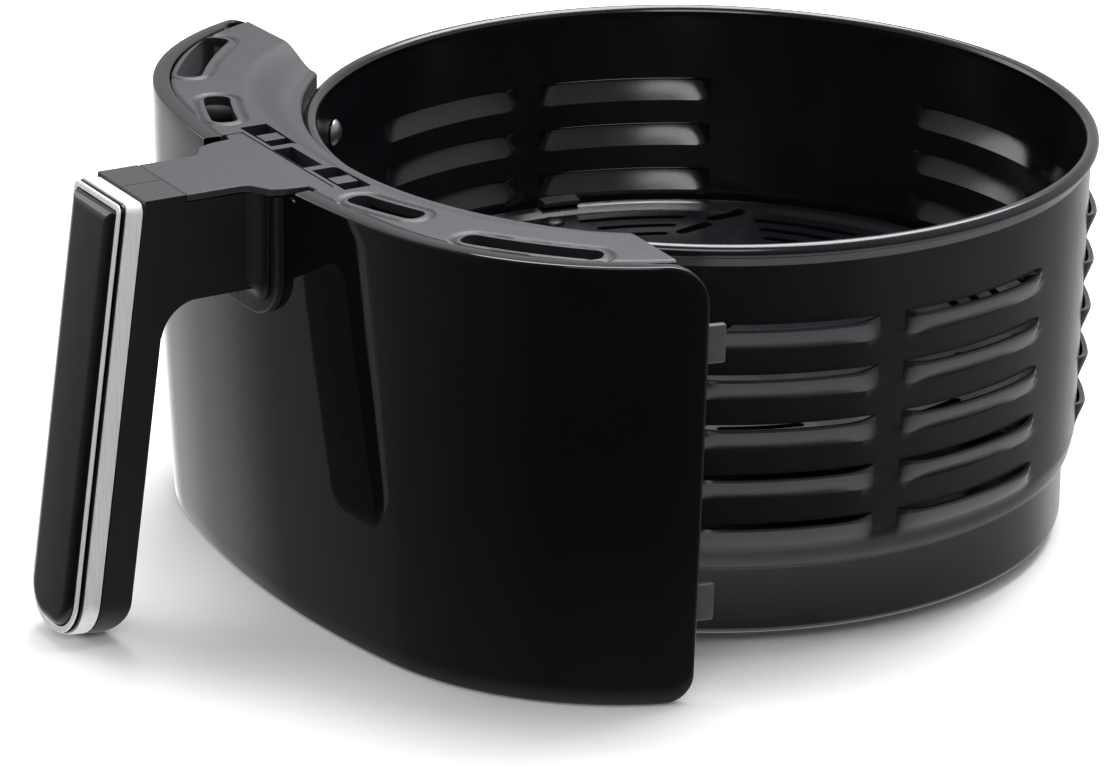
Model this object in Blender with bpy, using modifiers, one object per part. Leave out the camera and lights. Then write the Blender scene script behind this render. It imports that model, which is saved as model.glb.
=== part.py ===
"""Drawer of a round basket air fryer: louvred basket, crisper plate, curved front and handle.

Metres, +Z up. The origin is on the basket's axis at the underside of its base, and the
front, with the handle, faces -Y. Run with blender --background --python part.py.
"""

import math

import bmesh
import bpy
from mathutils import Matrix, Vector

# Clearances between pieces.
GAP = 0.0003
SCREW_SLACK = 0.0003

# Basket: a drawn steel bowl with a rolled rim, a stepped foot and lanced louvres.
WALL = 0.0012
RIM_R = 0.1150
RIM_Z = 0.1162
RIM_BEAD = 0.0023
RIM_ROLL = 0.0020
WALL_TAPER = 0.0007
STEP_IN = 0.0033
STEP_LIP = 0.0018
WALL_TOP_R = RIM_R - RIM_ROLL
WALL_FOOT_R = WALL_TOP_R - WALL_TAPER
WALL_FOOT_Z = 0.0300
FOOT_BAND_R = WALL_FOOT_R - STEP_IN
FOOT_BAND_Z = 0.0200
STEP_LIP_R = FOOT_BAND_R + STEP_LIP
BASE_ROUND = 0.0020
LOUVRE_ROWS = 5
LOUVRE_FIRST_Z = WALL_FOOT_Z + 0.0046
LOUVRE_PITCH = 0.0146
LOUVRE_DROP = 0.0072
LOUVRE_BULGE = 0.0029
LOUVRE_SLIT = 0.0009
LOUVRE_PAIRS = (math.radians(-3.8), math.radians(81.7), math.radians(176.2))
LOUVRE_SPREAD = math.radians(28.2)
LOUVRE_WEB = math.radians(3.9)
WALL_STEP = math.radians(7.0)

# Crisper plate, its legs, boots and bumpers.
PLATE_CLEARANCE = 0.0036
PLATE_R = WALL_FOOT_R - WALL - PLATE_CLEARANCE
PLATE_Z = 0.0530
PLATE_T = 0.0012
PLATE_RIM_H = 0.0020
PLATE_SKIRT = 0.0028
SLOT_RADII = (PLATE_R - 0.0125, PLATE_R - 0.0203, PLATE_R - 0.0279)
SLOT_SPANS = (math.radians(9.3), math.radians(7.3), math.radians(5.1))
SLOT_WIDTH = 0.0030
SECTOR_OFFSETS = (math.radians(14.8), math.radians(48.1), math.radians(75.2))
DRAIN_WIDTH = 0.0040
DRAINS = (((PLATE_R - 0.0265, math.radians(24.0)), (PLATE_R - 0.0190, math.radians(29.0))),
          ((PLATE_R - 0.0130, math.radians(30.2)), (PLATE_R - 0.0065, math.radians(34.6))))
HEART_HOLE_R = 0.0110
LEG_COUNT = 4
LEG_START = math.radians(175.0)
LEG_CIRCLE = PLATE_R - 0.0105
LEG_R = 0.0030
LEG_NECK_R = 0.0015
LEG_HEAD_R = 0.0035
LEG_HEAD_H = 0.0012
BOOT_R = 0.0048
BOOT_FLOOR = 0.0020
BOOT_H = 0.0090
BUMPER_LEAD = math.radians(3.5)
BUMPER_SPREAD = math.radians(3.2)
BUMPER_LAP = 0.0030
BUMPER_H = 0.0018
BUMPER_DROP = 0.0055
BUMPER_PLAY = 0.0005

# Front panel: plan curve of a shallow middle arc and two tighter corner arcs.
FRONT_DEPTH = 0.0335
FRONT_RISE = 0.0078
FRONT_Y = RIM_R + FRONT_DEPTH
FRONT_R = 0.3100
CORNER_R = 0.0860
BLEND = math.radians(12.0)
PANEL_RUN = 0.1614
PANEL_TOP = RIM_Z + FRONT_RISE
PANEL_BOTTOM = -0.0040
PANEL_T = 0.0026
PANEL_LIP_T = 0.0024
PANEL_TOP_ROUND = 0.0120
PANEL_FOOT_ROUND = 0.0090
PANEL_DRAFT = 0.0055
DRAFT_POWER = 1.6

# Liner behind the panel, with side tabs and posts to the basket.
LINER_T = 0.0014
PANEL_LIP = PANEL_T + LINER_T + 0.0010
LINER_MARGIN = 0.0040
LINER_BOTTOM = 0.0020
TAB_REACH = 0.0065
TAB_T = 0.0026
TAB_H = 0.0110
TAB_Z = (PANEL_BOTTOM + 0.0285, PANEL_TOP - 0.0240)
POST_R = 0.0060
POST_TURN = math.radians(46.0)
POST_Z = (WALL_FOOT_Z + 0.0100, PANEL_TOP - 0.0240)

# Top frame between the panel and the rim.
FRAME_RUN = 0.1530
FRAME_INNER_R = RIM_R + 0.0006
FRAME_TURN = math.radians(44.3)
FRAME_LIP_Z = RIM_Z + 0.0028
FRAME_FOOT_Z = PANEL_TOP - 0.0140
FRAME_SKIN = 0.0026
FRAME_WALL = 0.0022
FRAME_SLOT_W = 0.0076
FRAME_SLOTS = ((math.radians(15.5), math.radians(25.5), RIM_R + 0.0250),
               (math.radians(32.8), math.radians(48.0), RIM_R + 0.0338))
CHANNEL_FLOOR = PANEL_TOP - 0.0045
CHANNEL_HALF = 0.0090
CHANNEL_Y = (0.0128 - FRONT_Y, 0.0195 - FRONT_Y)
POCKET_X = (0.0120, 0.0310)
POCKET_Y = (0.0145 - FRONT_Y, 0.0229 - FRONT_Y)
CLIP_SIZE = (0.0056, 0.0064)
CLIP_PLACE = (0.0213, 0.0193 - FRONT_Y)
CLIP_TOP = PANEL_TOP - 0.0006

# Handle: arm, collar on the panel, and a grip that leans outwards.
ARM_HALF = 0.0147
ARM_DEPTH = 0.0303
ARM_UNDER = PANEL_TOP - ARM_DEPTH
COLLAR_HALF = ARM_HALF + 0.0073
COLLAR_T = 0.0030
COLLAR_FOOT_Z = ARM_UNDER - 0.0097
COVER_T = 0.0020
COVER_NECK = COLLAR_HALF + 0.0015
COVER_HALF = COVER_NECK + 0.0035
COVER_BACK_Y = 0.0130 - FRONT_Y
COVER_FRONT_Y = -0.0253 - FRONT_Y
CORE_HALF = COVER_HALF + 0.0090
COLLAR_ROUND = 0.0150
GRIP_LEAN = math.radians(7.4)
GRIP_REACH = 0.0380
GRIP_Y = -FRONT_Y - GRIP_REACH
GRIP_LENGTH = 0.1283
GRIP_T = 0.0097
GRIP_FOOT_ROUND = 0.0125
CROOK_ROUND = 0.0120
SEAM_LAP = 0.0020

# Grip front: bright trim, thin lip and cushioned insert, stacked on the grip's front plane.
TRIM_TOP = 0.0008
TRIM_T = 0.0050
TRIM_WALL = 0.0024
TRIM_TOP_ROUND = 0.0030
REVEAL = 0.0013
LIP_T = 0.0010
LIP_INSET = 0.0006
LIP_WALL = 0.0018
CUSHION_RISE = 0.0020

# Steel strap inside the handle, riveted to the basket.
STRAP_HALF = ARM_HALF - 0.0047
STRAP_T = 0.0025
STRAP_Z = PANEL_TOP - 0.0200
STRAP_DEPTH = 0.0035
STRAP_NECK_Y = 0.0040 - FRONT_Y
STRAP_GRIP_END = GRIP_LENGTH - 0.0333
STRAP_PAD_TURN = math.radians(7.0)
STRAP_PAD_Z = (PANEL_TOP - 0.0390, PANEL_TOP - 0.0175)
STRAP_RIVET_Z = (PANEL_TOP - 0.0340, PANEL_TOP - 0.0255)

# Fasteners.
SCREW_R = 0.0018
SCREW_HEAD_R = 0.0040
SCREW_HEAD_H = 0.0020
COLLAR_SCREW_X = ARM_HALF - 0.0042
COLLAR_SCREW_Z = PANEL_TOP - 0.0255
GRIP_SCREWS = (GRIP_LENGTH - 0.0803, GRIP_LENGTH - 0.0403)
FRAME_SCREW_X = 0.0265
FRAME_SCREW_Y = 0.0185 - FRONT_Y

PARTS = bpy.data.collections.new("air_fryer_drawer")
CUTTERS = bpy.data.collections.new("cutters")


def clear_scene():
    for obj in list(bpy.data.objects):
        bpy.data.objects.remove(obj, do_unlink=True)
    bpy.context.scene.collection.children.link(PARTS)
    bpy.context.scene.collection.children.link(CUTTERS)
    CUTTERS.hide_render = True


def make_material(name, colour, roughness, metallic=0.0):
    material = bpy.data.materials.new(name)
    material.use_nodes = True
    shader = material.node_tree.nodes["Principled BSDF"]
    shader.inputs["Base Color"].default_value = (*colour, 1.0)
    shader.inputs["Roughness"].default_value = roughness
    shader.inputs["Metallic"].default_value = metallic
    return material


def place_part(obj, material):
    """Files an object as a part, or as a cutter when it has no material."""
    if material is None:
        obj.hide_render = True
        obj.display_type = "WIRE"
        CUTTERS.objects.link(obj)
    else:
        obj.data.materials.append(material)
        PARTS.objects.link(obj)
    return obj


def finish(bm, name, material, smooth=True):
    """Turns a bmesh into a part or a cutter."""
    bmesh.ops.recalc_face_normals(bm, faces=bm.faces)
    mesh = bpy.data.meshes.new(name)
    bm.to_mesh(mesh)
    bm.free()
    if smooth:
        mesh.shade_smooth()
        mesh.set_sharp_from_angle(angle=math.radians(32.0))
    return place_part(bpy.data.objects.new(name, mesh), material)


def loft(name, sections, material=None):
    """Joins equal closed outlines into a skin, capped at both ends."""
    bm = bmesh.new()
    rings = [[bm.verts.new(point) for point in section] for section in sections]
    for first, second in zip(rings, rings[1:]):
        for i, vert in enumerate(first):
            j = (i + 1) % len(first)
            bm.faces.new((vert, first[j], second[j], second[i]))
    bm.faces.new(rings[0])
    bm.faces.new(list(reversed(rings[-1])))
    return finish(bm, name, material)


def box(name, low, high, material=None):
    bm = bmesh.new()
    bmesh.ops.create_cube(bm, size=1.0)
    size = [b - a for a, b in zip(low, high)]
    bmesh.ops.scale(bm, vec=size, verts=bm.verts)
    bmesh.ops.translate(bm, vec=[(a + b) / 2 for a, b in zip(low, high)], verts=bm.verts)
    return finish(bm, name, material, smooth=False)


def turned(name, profile, material=None, place=None, axis=(0.0, 0.0, 1.0), steps=16, ring=False):
    """Screws a profile of (radius, height), listed top to bottom, round an axis.

    A ring's profile closes on itself. Any other is joined to the axis at both ends.
    """
    if not ring:
        profile = [(0.0, profile[0][1]), *profile, (0.0, profile[-1][1])]
    count = len(profile)
    edges = [(k, (k + 1) % count) for k in range(count if ring else count - 1)]
    mesh = bpy.data.meshes.new(name)
    mesh.from_pydata([(radius, 0.0, z) for radius, z in profile], edges, [])
    obj = place_part(bpy.data.objects.new(name, mesh), material)
    screw = obj.modifiers.new("turn", "SCREW")
    screw.steps = steps
    screw.render_steps = steps
    screw.use_merge_vertices = True
    screw.merge_threshold = 0.00001
    screw.use_smooth_shade = True
    obj.rotation_mode = "QUATERNION"
    obj.rotation_quaternion = Vector((0.0, 0.0, 1.0)).rotation_difference(Vector(axis))
    obj.location = place or Vector()
    return obj


def flat(name, outlines, thickness, plane, material=None):
    """Extrudes flat outlines, the inner ones as holes, either side of a plane."""
    curve = bpy.data.curves.new(name, "CURVE")
    curve.dimensions = "2D"
    curve.fill_mode = "BOTH"
    curve.extrude = thickness / 2
    for outline in outlines:
        spline = curve.splines.new("POLY")
        spline.points.add(len(outline) - 1)
        for point, (across, up) in zip(spline.points, outline):
            point.co = (across, up, 0.0, 1.0)
        spline.use_cyclic_u = True
    guide = bpy.data.objects.new(f"{name} outline", curve)
    CUTTERS.objects.link(guide)
    graph = bpy.context.evaluated_depsgraph_get()
    mesh = bpy.data.meshes.new_from_object(guide.evaluated_get(graph))
    bpy.data.objects.remove(guide)
    bm = bmesh.new()
    bm.from_mesh(mesh)
    bmesh.ops.remove_doubles(bm, verts=bm.verts, dist=0.00001)
    obj = finish(bm, name, material)
    obj.matrix_world = plane
    return obj


def side_plane(x):
    """Plane facing +X, whose outlines are given as (y, z)."""
    turn = Matrix(((0.0, 0.0, 1.0), (1.0, 0.0, 0.0), (0.0, 1.0, 0.0))).to_4x4()
    return Matrix.Translation((x, 0.0, 0.0)) @ turn


def boolean(obj, cutter, operation="DIFFERENCE"):
    modifier = obj.modifiers.new(f"{operation.lower()} {cutter.name}", "BOOLEAN")
    modifier.operation = operation
    modifier.object = cutter
    modifier.solver = "EXACT"


def fraction(start, stop, share):
    return start + (stop - start) * share


def polar(radius, turn, z):
    return Vector((radius * math.cos(turn), radius * math.sin(turn), z))


# Basket ---------------------------------------------------------------------------------

def louvre_lip(row):
    return LOUVRE_FIRST_Z + row * LOUVRE_PITCH


def wall_radius(z):
    """Outer radius of the straight, slightly flared part of the wall."""
    return fraction(WALL_FOOT_R, WALL_TOP_R, (z - WALL_FOOT_Z) / (RIM_Z - WALL_FOOT_Z))


def louvre_groups():
    groups = []
    for centre in LOUVRE_PAIRS:
        near, far = LOUVRE_WEB / 2, LOUVRE_WEB / 2 + LOUVRE_SPREAD
        groups += [(centre - far, centre - near), (centre + near, centre + far)]
    return sorted(groups)


def wall_stations():
    """Turns around the wall, each with its share of the louvre bulge: None between louvres."""
    shares = ((-1.0, 0.0), (-0.88, 0.86), (-0.45, 1.0), (0.0, 1.0), (0.45, 1.0), (0.88, 0.86), (1.0, 0.0))
    stations = []
    groups = louvre_groups()
    for index, (start, stop) in enumerate(groups):
        for place, bulge in shares:
            stations.append((fraction(start, stop, (place + 1.0) / 2.0), bulge))
        following = groups[(index + 1) % len(groups)][0]
        plain = (following - stop) % (2.0 * math.pi)
        count = max(1, round(plain / WALL_STEP))
        stations += [(stop + plain * k / count, None) for k in range(1, count)]
    return stations


def basket_profile():
    """Outer rows from the base to the rim, then inner rows back down: (radius, z, louvre role)."""
    outer = [
        (FOOT_BAND_R - BASE_ROUND, 0.0, None),
        (FOOT_BAND_R - 0.3 * BASE_ROUND, 0.3 * BASE_ROUND, None),
        (FOOT_BAND_R, BASE_ROUND, None),
        (FOOT_BAND_R, FOOT_BAND_Z, None),
        (STEP_LIP_R, FOOT_BAND_Z + 0.0013, None),
        (fraction(STEP_LIP_R, WALL_FOOT_R, 0.65), fraction(FOOT_BAND_Z, WALL_FOOT_Z, 0.45), None),
    ]
    for row in range(LOUVRE_ROWS):
        lip = louvre_lip(row)
        outer.append((wall_radius(lip - LOUVRE_DROP), lip - LOUVRE_DROP, None))
        outer.append((wall_radius(lip - LOUVRE_DROP / 2), lip - LOUVRE_DROP / 2, "belly"))
        outer.append((wall_radius(lip), lip, "slit"))
    inner = [(radius - WALL, z, role) for radius, z, role in outer[4:]]
    rim = [
        (WALL_TOP_R, RIM_Z - 2.4 * RIM_BEAD, None),
        (RIM_R - 0.2 * RIM_BEAD, RIM_Z - 1.9 * RIM_BEAD, None),
        (RIM_R, RIM_Z - 1.1 * RIM_BEAD, None),
        (RIM_R - 0.25 * RIM_BEAD, RIM_Z - 0.35 * RIM_BEAD, None),
        (WALL_TOP_R + 0.1 * RIM_BEAD, RIM_Z, None),
        (WALL_TOP_R - 0.4 * RIM_BEAD, RIM_Z - 0.3 * RIM_BEAD, None),
        (WALL_TOP_R - WALL, RIM_Z - RIM_BEAD, None),
    ]
    floor = [
        (FOOT_BAND_R - WALL, FOOT_BAND_Z - WALL / 2, None),
        (FOOT_BAND_R - WALL, WALL + BASE_ROUND, None),
        (FOOT_BAND_R - WALL - BASE_ROUND, WALL, None),
    ]
    return outer + rim + list(reversed(inner)) + floor


def basket_ring(bm, radius, z, role, stations):
    """One row of vertices. A slit row has two: the wall's edge, and the louvre's lip below it."""
    wall_edge, louvre_edge = [], []
    for turn, bulge in stations:
        at_wall = bm.verts.new(polar(radius, turn, z))
        if role == "belly" and bulge:
            at_wall.co = polar(radius + 0.72 * bulge * LOUVRE_BULGE, turn, z)
        wall_edge.append(at_wall)
        if role == "slit" and bulge:
            lip = polar(radius + bulge * LOUVRE_BULGE, turn, z - LOUVRE_SLIT)
            louvre_edge.append(bm.verts.new(lip))
        else:
            louvre_edge.append(at_wall)
    return louvre_edge, wall_edge


def bridge(bm, lower, upper):
    for i in range(len(lower)):
        j = (i + 1) % len(lower)
        corners = [lower[i], lower[j], upper[j], upper[i]]
        unique = [v for k, v in enumerate(corners) if v not in corners[:k]]
        if len(unique) > 2:
            bm.faces.new(unique)


def make_basket(steel):
    bm = bmesh.new()
    stations = wall_stations()
    profile = basket_profile()
    rows = [basket_ring(bm, radius, z, role, stations) for radius, z, role in profile]
    crest = max(range(len(profile)), key=lambda k: profile[k][1])
    for k in range(len(rows) - 1):
        if k < crest:
            bridge(bm, rows[k][1], rows[k + 1][0])
        else:
            bridge(bm, rows[k][0], rows[k + 1][1])
    slits = [k for k, row in enumerate(profile) if row[2] == "slit"]
    for outer, inner in zip(slits[:LOUVRE_ROWS], reversed(slits[LOUVRE_ROWS:])):
        for side in (0, 1):
            count = len(stations)
            for i in range(count):
                j = (i + 1) % count
                if rows[outer][0][i] is rows[outer][1][i] and rows[outer][0][j] is rows[outer][1][j]:
                    continue
                corners = [rows[outer][side][i], rows[outer][side][j],
                           rows[inner][side][j], rows[inner][side][i]]
                bm.faces.new(corners)
    bm.faces.new(rows[0][0])
    bm.faces.new(rows[-1][0])
    basket = finish(bm, "basket_shell", steel)
    for turn, z in basket_holes():
        hole = turned("cut basket hole", [(SCREW_R + SCREW_SLACK, 0.006), (SCREW_R + SCREW_SLACK, -0.006)],
                      None, polar(wall_radius(z) - WALL / 2, turn, z), polar(1.0, turn, 0.0), 12)
        boolean(basket, hole)
    return basket


def post_turns():
    front = math.radians(-90.0)
    return (front - POST_TURN, front + POST_TURN)


def basket_holes():
    """Turn and height of every fastener through the basket's wall."""
    posts = [(turn, z) for turn in post_turns() for z in POST_Z]
    return posts + [(math.radians(-90.0), z) for z in STRAP_RIVET_Z]


# Crisper plate --------------------------------------------------------------------------

def leg_turns():
    return [LEG_START + 2.0 * math.pi * k / LEG_COUNT for k in range(LEG_COUNT)]


def arc_slot(name, radius, centre, half_span, width, low, high, steps=3):
    """A cutter along an arc, with square ends."""
    sections = []
    for k in range(steps + 1):
        turn = fraction(centre - half_span, centre + half_span, k / steps)
        inner, outer = radius - width / 2, radius + width / 2
        sections.append([polar(inner, turn, low), polar(outer, turn, low),
                         polar(outer, turn, high), polar(inner, turn, high)])
    return loft(name, sections)


def straight_slot(name, start, stop, width, height):
    """A cutter along a straight run, with square ends."""
    side = Vector((0.0, 0.0, 1.0)).cross(stop - start).normalized() * width / 2
    foot = [start - side, stop - side, stop + side, start + side]
    lift = Vector((0.0, 0.0, height))
    return loft(name, [foot, [corner + lift for corner in foot]])


def make_plate(steel):
    top, under = PLATE_Z, PLATE_Z - PLATE_T
    profile = [
        (HEART_HOLE_R, top), (PLATE_R - 5.0 * PLATE_T, top),
        (PLATE_R - 2.0 * PLATE_T, top + PLATE_RIM_H * 0.7), (PLATE_R - PLATE_T / 2, top + PLATE_RIM_H),
        (PLATE_R, top + PLATE_RIM_H - PLATE_T / 2), (PLATE_R, under - PLATE_SKIRT),
        (PLATE_R - PLATE_T, under - PLATE_SKIRT), (PLATE_R - PLATE_T, under - PLATE_SKIRT + PLATE_T),
        (PLATE_R - 3.0 * PLATE_T, under), (HEART_HOLE_R, under),
    ]
    plate = turned("crisper_plate", profile, steel, steps=48, ring=True)
    low, high = under - 0.002, top + 0.002
    for quarter in leg_turns():
        for offset in SECTOR_OFFSETS:
            for radius, span in zip(SLOT_RADII, SLOT_SPANS):
                boolean(plate, arc_slot("cut arc slot", radius, quarter - offset, span, SLOT_WIDTH, low, high, 2))
        for (near, start), (far, stop) in DRAINS:
            boolean(plate, straight_slot("cut drain", polar(near, quarter - start, low),
                                         polar(far, quarter - stop, low), DRAIN_WIDTH, high - low))
    for turn in leg_turns():
        boolean(plate, turned("cut leg hole", [(LEG_NECK_R + GAP, high), (LEG_NECK_R + GAP, low)],
                              None, polar(LEG_CIRCLE, turn, 0.0), steps=10))
    return plate


def make_legs(steel, silicone):
    """Riveted legs that hold the plate up, and the soft boots they stand in."""
    floor = WALL + GAP
    for number, turn in enumerate(leg_turns(), 1):
        under, top = PLATE_Z - PLATE_T - GAP, PLATE_Z + GAP
        profile = [(0.6 * LEG_HEAD_R, top + LEG_HEAD_H), (LEG_HEAD_R, top + 0.4 * LEG_HEAD_H),
                   (LEG_HEAD_R, top), (LEG_NECK_R, top), (LEG_NECK_R, under), (LEG_R, under),
                   (LEG_R, floor + BOOT_FLOOR + GAP)]
        turned(f"plate_leg_{number}", profile, steel, polar(LEG_CIRCLE, turn, 0.0), steps=12)
        inner = LEG_R + GAP
        cup = [(inner, floor + BOOT_FLOOR), (inner, floor + BOOT_H), (BOOT_R - 0.0006, floor + BOOT_H),
               (BOOT_R, floor + BOOT_H - 0.0012), (BOOT_R, floor + 0.0008), (BOOT_R - 0.0008, floor)]
        turned(f"leg_boot_{number}", cup, silicone, polar(LEG_CIRCLE, turn, 0.0), steps=12)


def make_bumpers(silicone):
    """Soft clips over the plate's rim that keep it off the basket's wall."""
    reach = wall_radius(PLATE_Z) - WALL - BUMPER_PLAY
    shell, lid = PLATE_R + GAP, PLATE_Z + PLATE_RIM_H + GAP
    foot = PLATE_Z - BUMPER_DROP
    for number, leg in enumerate(leg_turns(), 1):
        centre = leg - BUMPER_LEAD
        sections = []
        for k in range(4):
            turn = fraction(centre - BUMPER_SPREAD, centre + BUMPER_SPREAD, k / 3)
            outline = [(shell, foot), (reach, foot), (reach, lid + 0.6 * BUMPER_H),
                       (reach - 0.001, lid + BUMPER_H), (PLATE_R - BUMPER_LAP, lid + BUMPER_H),
                       (PLATE_R - BUMPER_LAP, lid), (shell, lid)]
            sections.append([polar(radius, turn, z) for radius, z in outline])
        loft(f"plate_bumper_{number}", sections, silicone)


# Front ----------------------------------------------------------------------------------

def front_curve(run, inset):
    """Plan point on the front curve, `run` from its middle, moved `inset` towards the basket."""
    side = -1.0 if run < 0.0 else 1.0
    flat = FRONT_R * BLEND
    centre_x, centre_y, radius, turn = 0.0, FRONT_R - FRONT_Y, FRONT_R, abs(run) / FRONT_R
    if abs(run) > flat:
        centre_x = (FRONT_R - CORNER_R) * math.sin(BLEND)
        centre_y -= (FRONT_R - CORNER_R) * math.cos(BLEND)
        radius, turn = CORNER_R, BLEND + (abs(run) - flat) / CORNER_R
    x = centre_x + (radius - inset) * math.sin(turn)
    return side * x, centre_y - (radius - inset) * math.cos(turn)


def front_point(run, inset, z):
    """Point behind the panel's face: the face leans in towards its foot."""
    share = max(0.0, (PANEL_TOP - z) / (PANEL_TOP - PANEL_BOTTOM))
    x, y = front_curve(run, inset + PANEL_DRAFT * share ** DRAFT_POWER)
    return Vector((x, y, z))


def runs(limit, rounding=0.0, coarse=0.0115):
    """Stations along the front curve, closer together over a rounded end."""
    plain = limit - rounding
    count = math.ceil(plain / coarse)
    half = [plain * k / count for k in range(count + 1)]
    if rounding:
        half += [plain + rounding * math.sin(math.radians(turn)) for turn in (30.0, 55.0, 75.0, 90.0)]
    return [-run for run in reversed(half[1:])] + half


def rounded_end(run, limit, rounding):
    """How far an edge has turned away at `run`, where it rounds off into the end at `limit`."""
    over = abs(run) - (limit - rounding)
    return 0.0 if over <= 0.0 else rounding - math.sqrt(max(0.0, rounding ** 2 - over ** 2))


def face_levels(low, high, count=5):
    return [fraction(low, high, k / count) for k in range(count + 1)]


def make_panel(gloss):
    sections = []
    for run in runs(PANEL_RUN, PANEL_TOP_ROUND):
        top = PANEL_TOP - rounded_end(run, PANEL_RUN, PANEL_TOP_ROUND)
        foot = PANEL_BOTTOM + rounded_end(run, PANEL_RUN, PANEL_FOOT_ROUND)
        lip = PANEL_LIP if abs(run) < FRAME_RUN - PANEL_TOP_ROUND else PANEL_T + 0.0004
        outline = [front_point(run, 0.0, z) for z in face_levels(foot, top)]
        outline += [front_point(run, lip, top), front_point(run, lip, top - PANEL_LIP_T)]
        back = face_levels(foot, top - PANEL_LIP_T)
        outline += [front_point(run, PANEL_T, z) for z in reversed(back)]
        sections.append(outline)
    panel = loft("front_panel", sections, gloss)
    boolean(panel, cover_notch("cut panel notch", GAP))
    boolean(panel, strap_window("cut panel window"))
    for side in (-1, 1):
        boolean(panel, collar_screw_hole("cut panel screw hole", side))
    return panel


def cover_notch(name, slack):
    """Clearance for the handle's cover where it crosses the front's top edge."""
    return box(name, (-COVER_HALF - slack, COVER_BACK_Y - 0.03, PANEL_TOP - COVER_T - GAP),
               (COVER_HALF + slack, COVER_BACK_Y + slack, PANEL_TOP + 0.004))


def strap_window(name):
    return box(name, (-STRAP_HALF - GAP, GRIP_Y + 0.030, STRAP_Z - GAP),
               (STRAP_HALF + GAP, 0.0185 - FRONT_Y, STRAP_Z + STRAP_T + GAP))


def collar_screw_hole(name, side):
    radius = SCREW_R + SCREW_SLACK
    return turned(name, [(radius, 0.006), (radius, -0.010)], None,
                  Vector((side * COLLAR_SCREW_X, -FRONT_Y, COLLAR_SCREW_Z)), (0.0, -1.0, 0.0), 10)


def liner_back():
    return PANEL_T + 2.0 * GAP + LINER_T


def make_liner(plastic):
    limit = PANEL_RUN - LINER_MARGIN
    lid = PANEL_TOP - PANEL_LIP_T - 2.0 * GAP
    front = PANEL_T + 2.0 * GAP
    sections = []
    for run in runs(limit, PANEL_TOP_ROUND):
        top = lid - rounded_end(run, limit, PANEL_TOP_ROUND)
        foot = LINER_BOTTOM + rounded_end(run, limit, PANEL_FOOT_ROUND)
        outline = [front_point(run, front, z) for z in face_levels(foot, top, 4)]
        outline += [front_point(run, liner_back(), z) for z in reversed(face_levels(foot, top, 4))]
        sections.append(outline)
    liner = loft("panel_liner", sections, plastic)
    for side in (-1, 1):
        for level in TAB_Z:
            boolean(liner, liner_tab(side, level, limit, front), "UNION")
    for turn in post_turns():
        for level in POST_Z:
            boolean(liner, post("join post", turn, level), "UNION")
            boolean(liner, post_bore("cut post bore", turn, level))
    boolean(liner, cover_notch("cut liner notch", GAP))
    boolean(liner, strap_window("cut liner window"))
    for side in (-1, 1):
        boolean(liner, collar_screw_hole("cut liner screw hole", side))
    return liner


def liner_tab(side, level, limit, front):
    sections = []
    for run in (limit - 0.010, limit - 0.003, PANEL_RUN + TAB_REACH - 0.001, PANEL_RUN + TAB_REACH):
        ease = 0.0012 if run == PANEL_RUN + TAB_REACH else 0.0
        low, high = level - TAB_H / 2 + ease, level + TAB_H / 2 - ease
        depth = ((front + 0.0002, low), (front + TAB_T, low), (front + TAB_T, high), (front + 0.0002, high))
        sections.append([front_point(side * run, inset, z) for inset, z in depth])
    return loft("join tab", sections)


def panel_distance(turn, level):
    """Distance from the axis to the liner's back along one direction."""
    best = min((abs(math.atan2(p.y, p.x) - turn), p.length) for p in (
        Vector(front_point(run, liner_back(), level).xy) for run in runs(FRAME_RUN, coarse=0.001)))
    return best[1]


def post(name, turn, level):
    near = wall_radius(level) + GAP + POST_R ** 2 / (2.0 * WALL_TOP_R)
    far = panel_distance(turn, level) + POST_R
    length = far - near
    column = turned(name, [(POST_R, length), (POST_R, 0.0)], None,
                    polar(near, turn, level), polar(1.0, turn, 0.0), 14)
    boolean(column, past_liner("cut post end", level))
    return column


def past_liner(name, level):
    """Everything in front of the middle of the liner's wall, round one post's height."""
    depth = liner_back() - 0.5 * LINER_T
    low, high = level - 2.0 * POST_R, level + 2.0 * POST_R
    return loft(name, [[front_point(run, -2.0 * POST_R, low), front_point(run, depth, low),
                        front_point(run, depth, high), front_point(run, -2.0 * POST_R, high)]
                       for run in runs(PANEL_RUN, coarse=0.004)])


def post_bore(name, turn, level):
    start = wall_radius(level)
    radius = SCREW_R + SCREW_SLACK
    return turned(name, [(radius, SCREW_HEAD_H + 0.014), (radius, -0.002)], None,
                  polar(start, turn, level), polar(1.0, turn, 0.0), 10)


def frame_edge(share, inset=0.0):
    """Outer edge of the top frame, `share` from its middle (0) to its end (1)."""
    run = share * (FRAME_RUN - inset)
    return front_point(run, PANEL_LIP + GAP + inset, PANEL_TOP)


def frame_section(share, levels, inset=0.0):
    """Outline across the frame, from the rim's side to the panel's side."""
    turn = math.radians(-90.0) + share * (FRAME_TURN - inset / FRAME_INNER_R)
    inner = polar(FRAME_INNER_R + inset, turn, 0.0)
    outer = frame_edge(share, inset)
    points = []
    for across, z in levels:
        place = inner.xy.lerp(outer.xy, across)
        points.append(Vector((place.x, place.y, z)))
    return points


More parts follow.
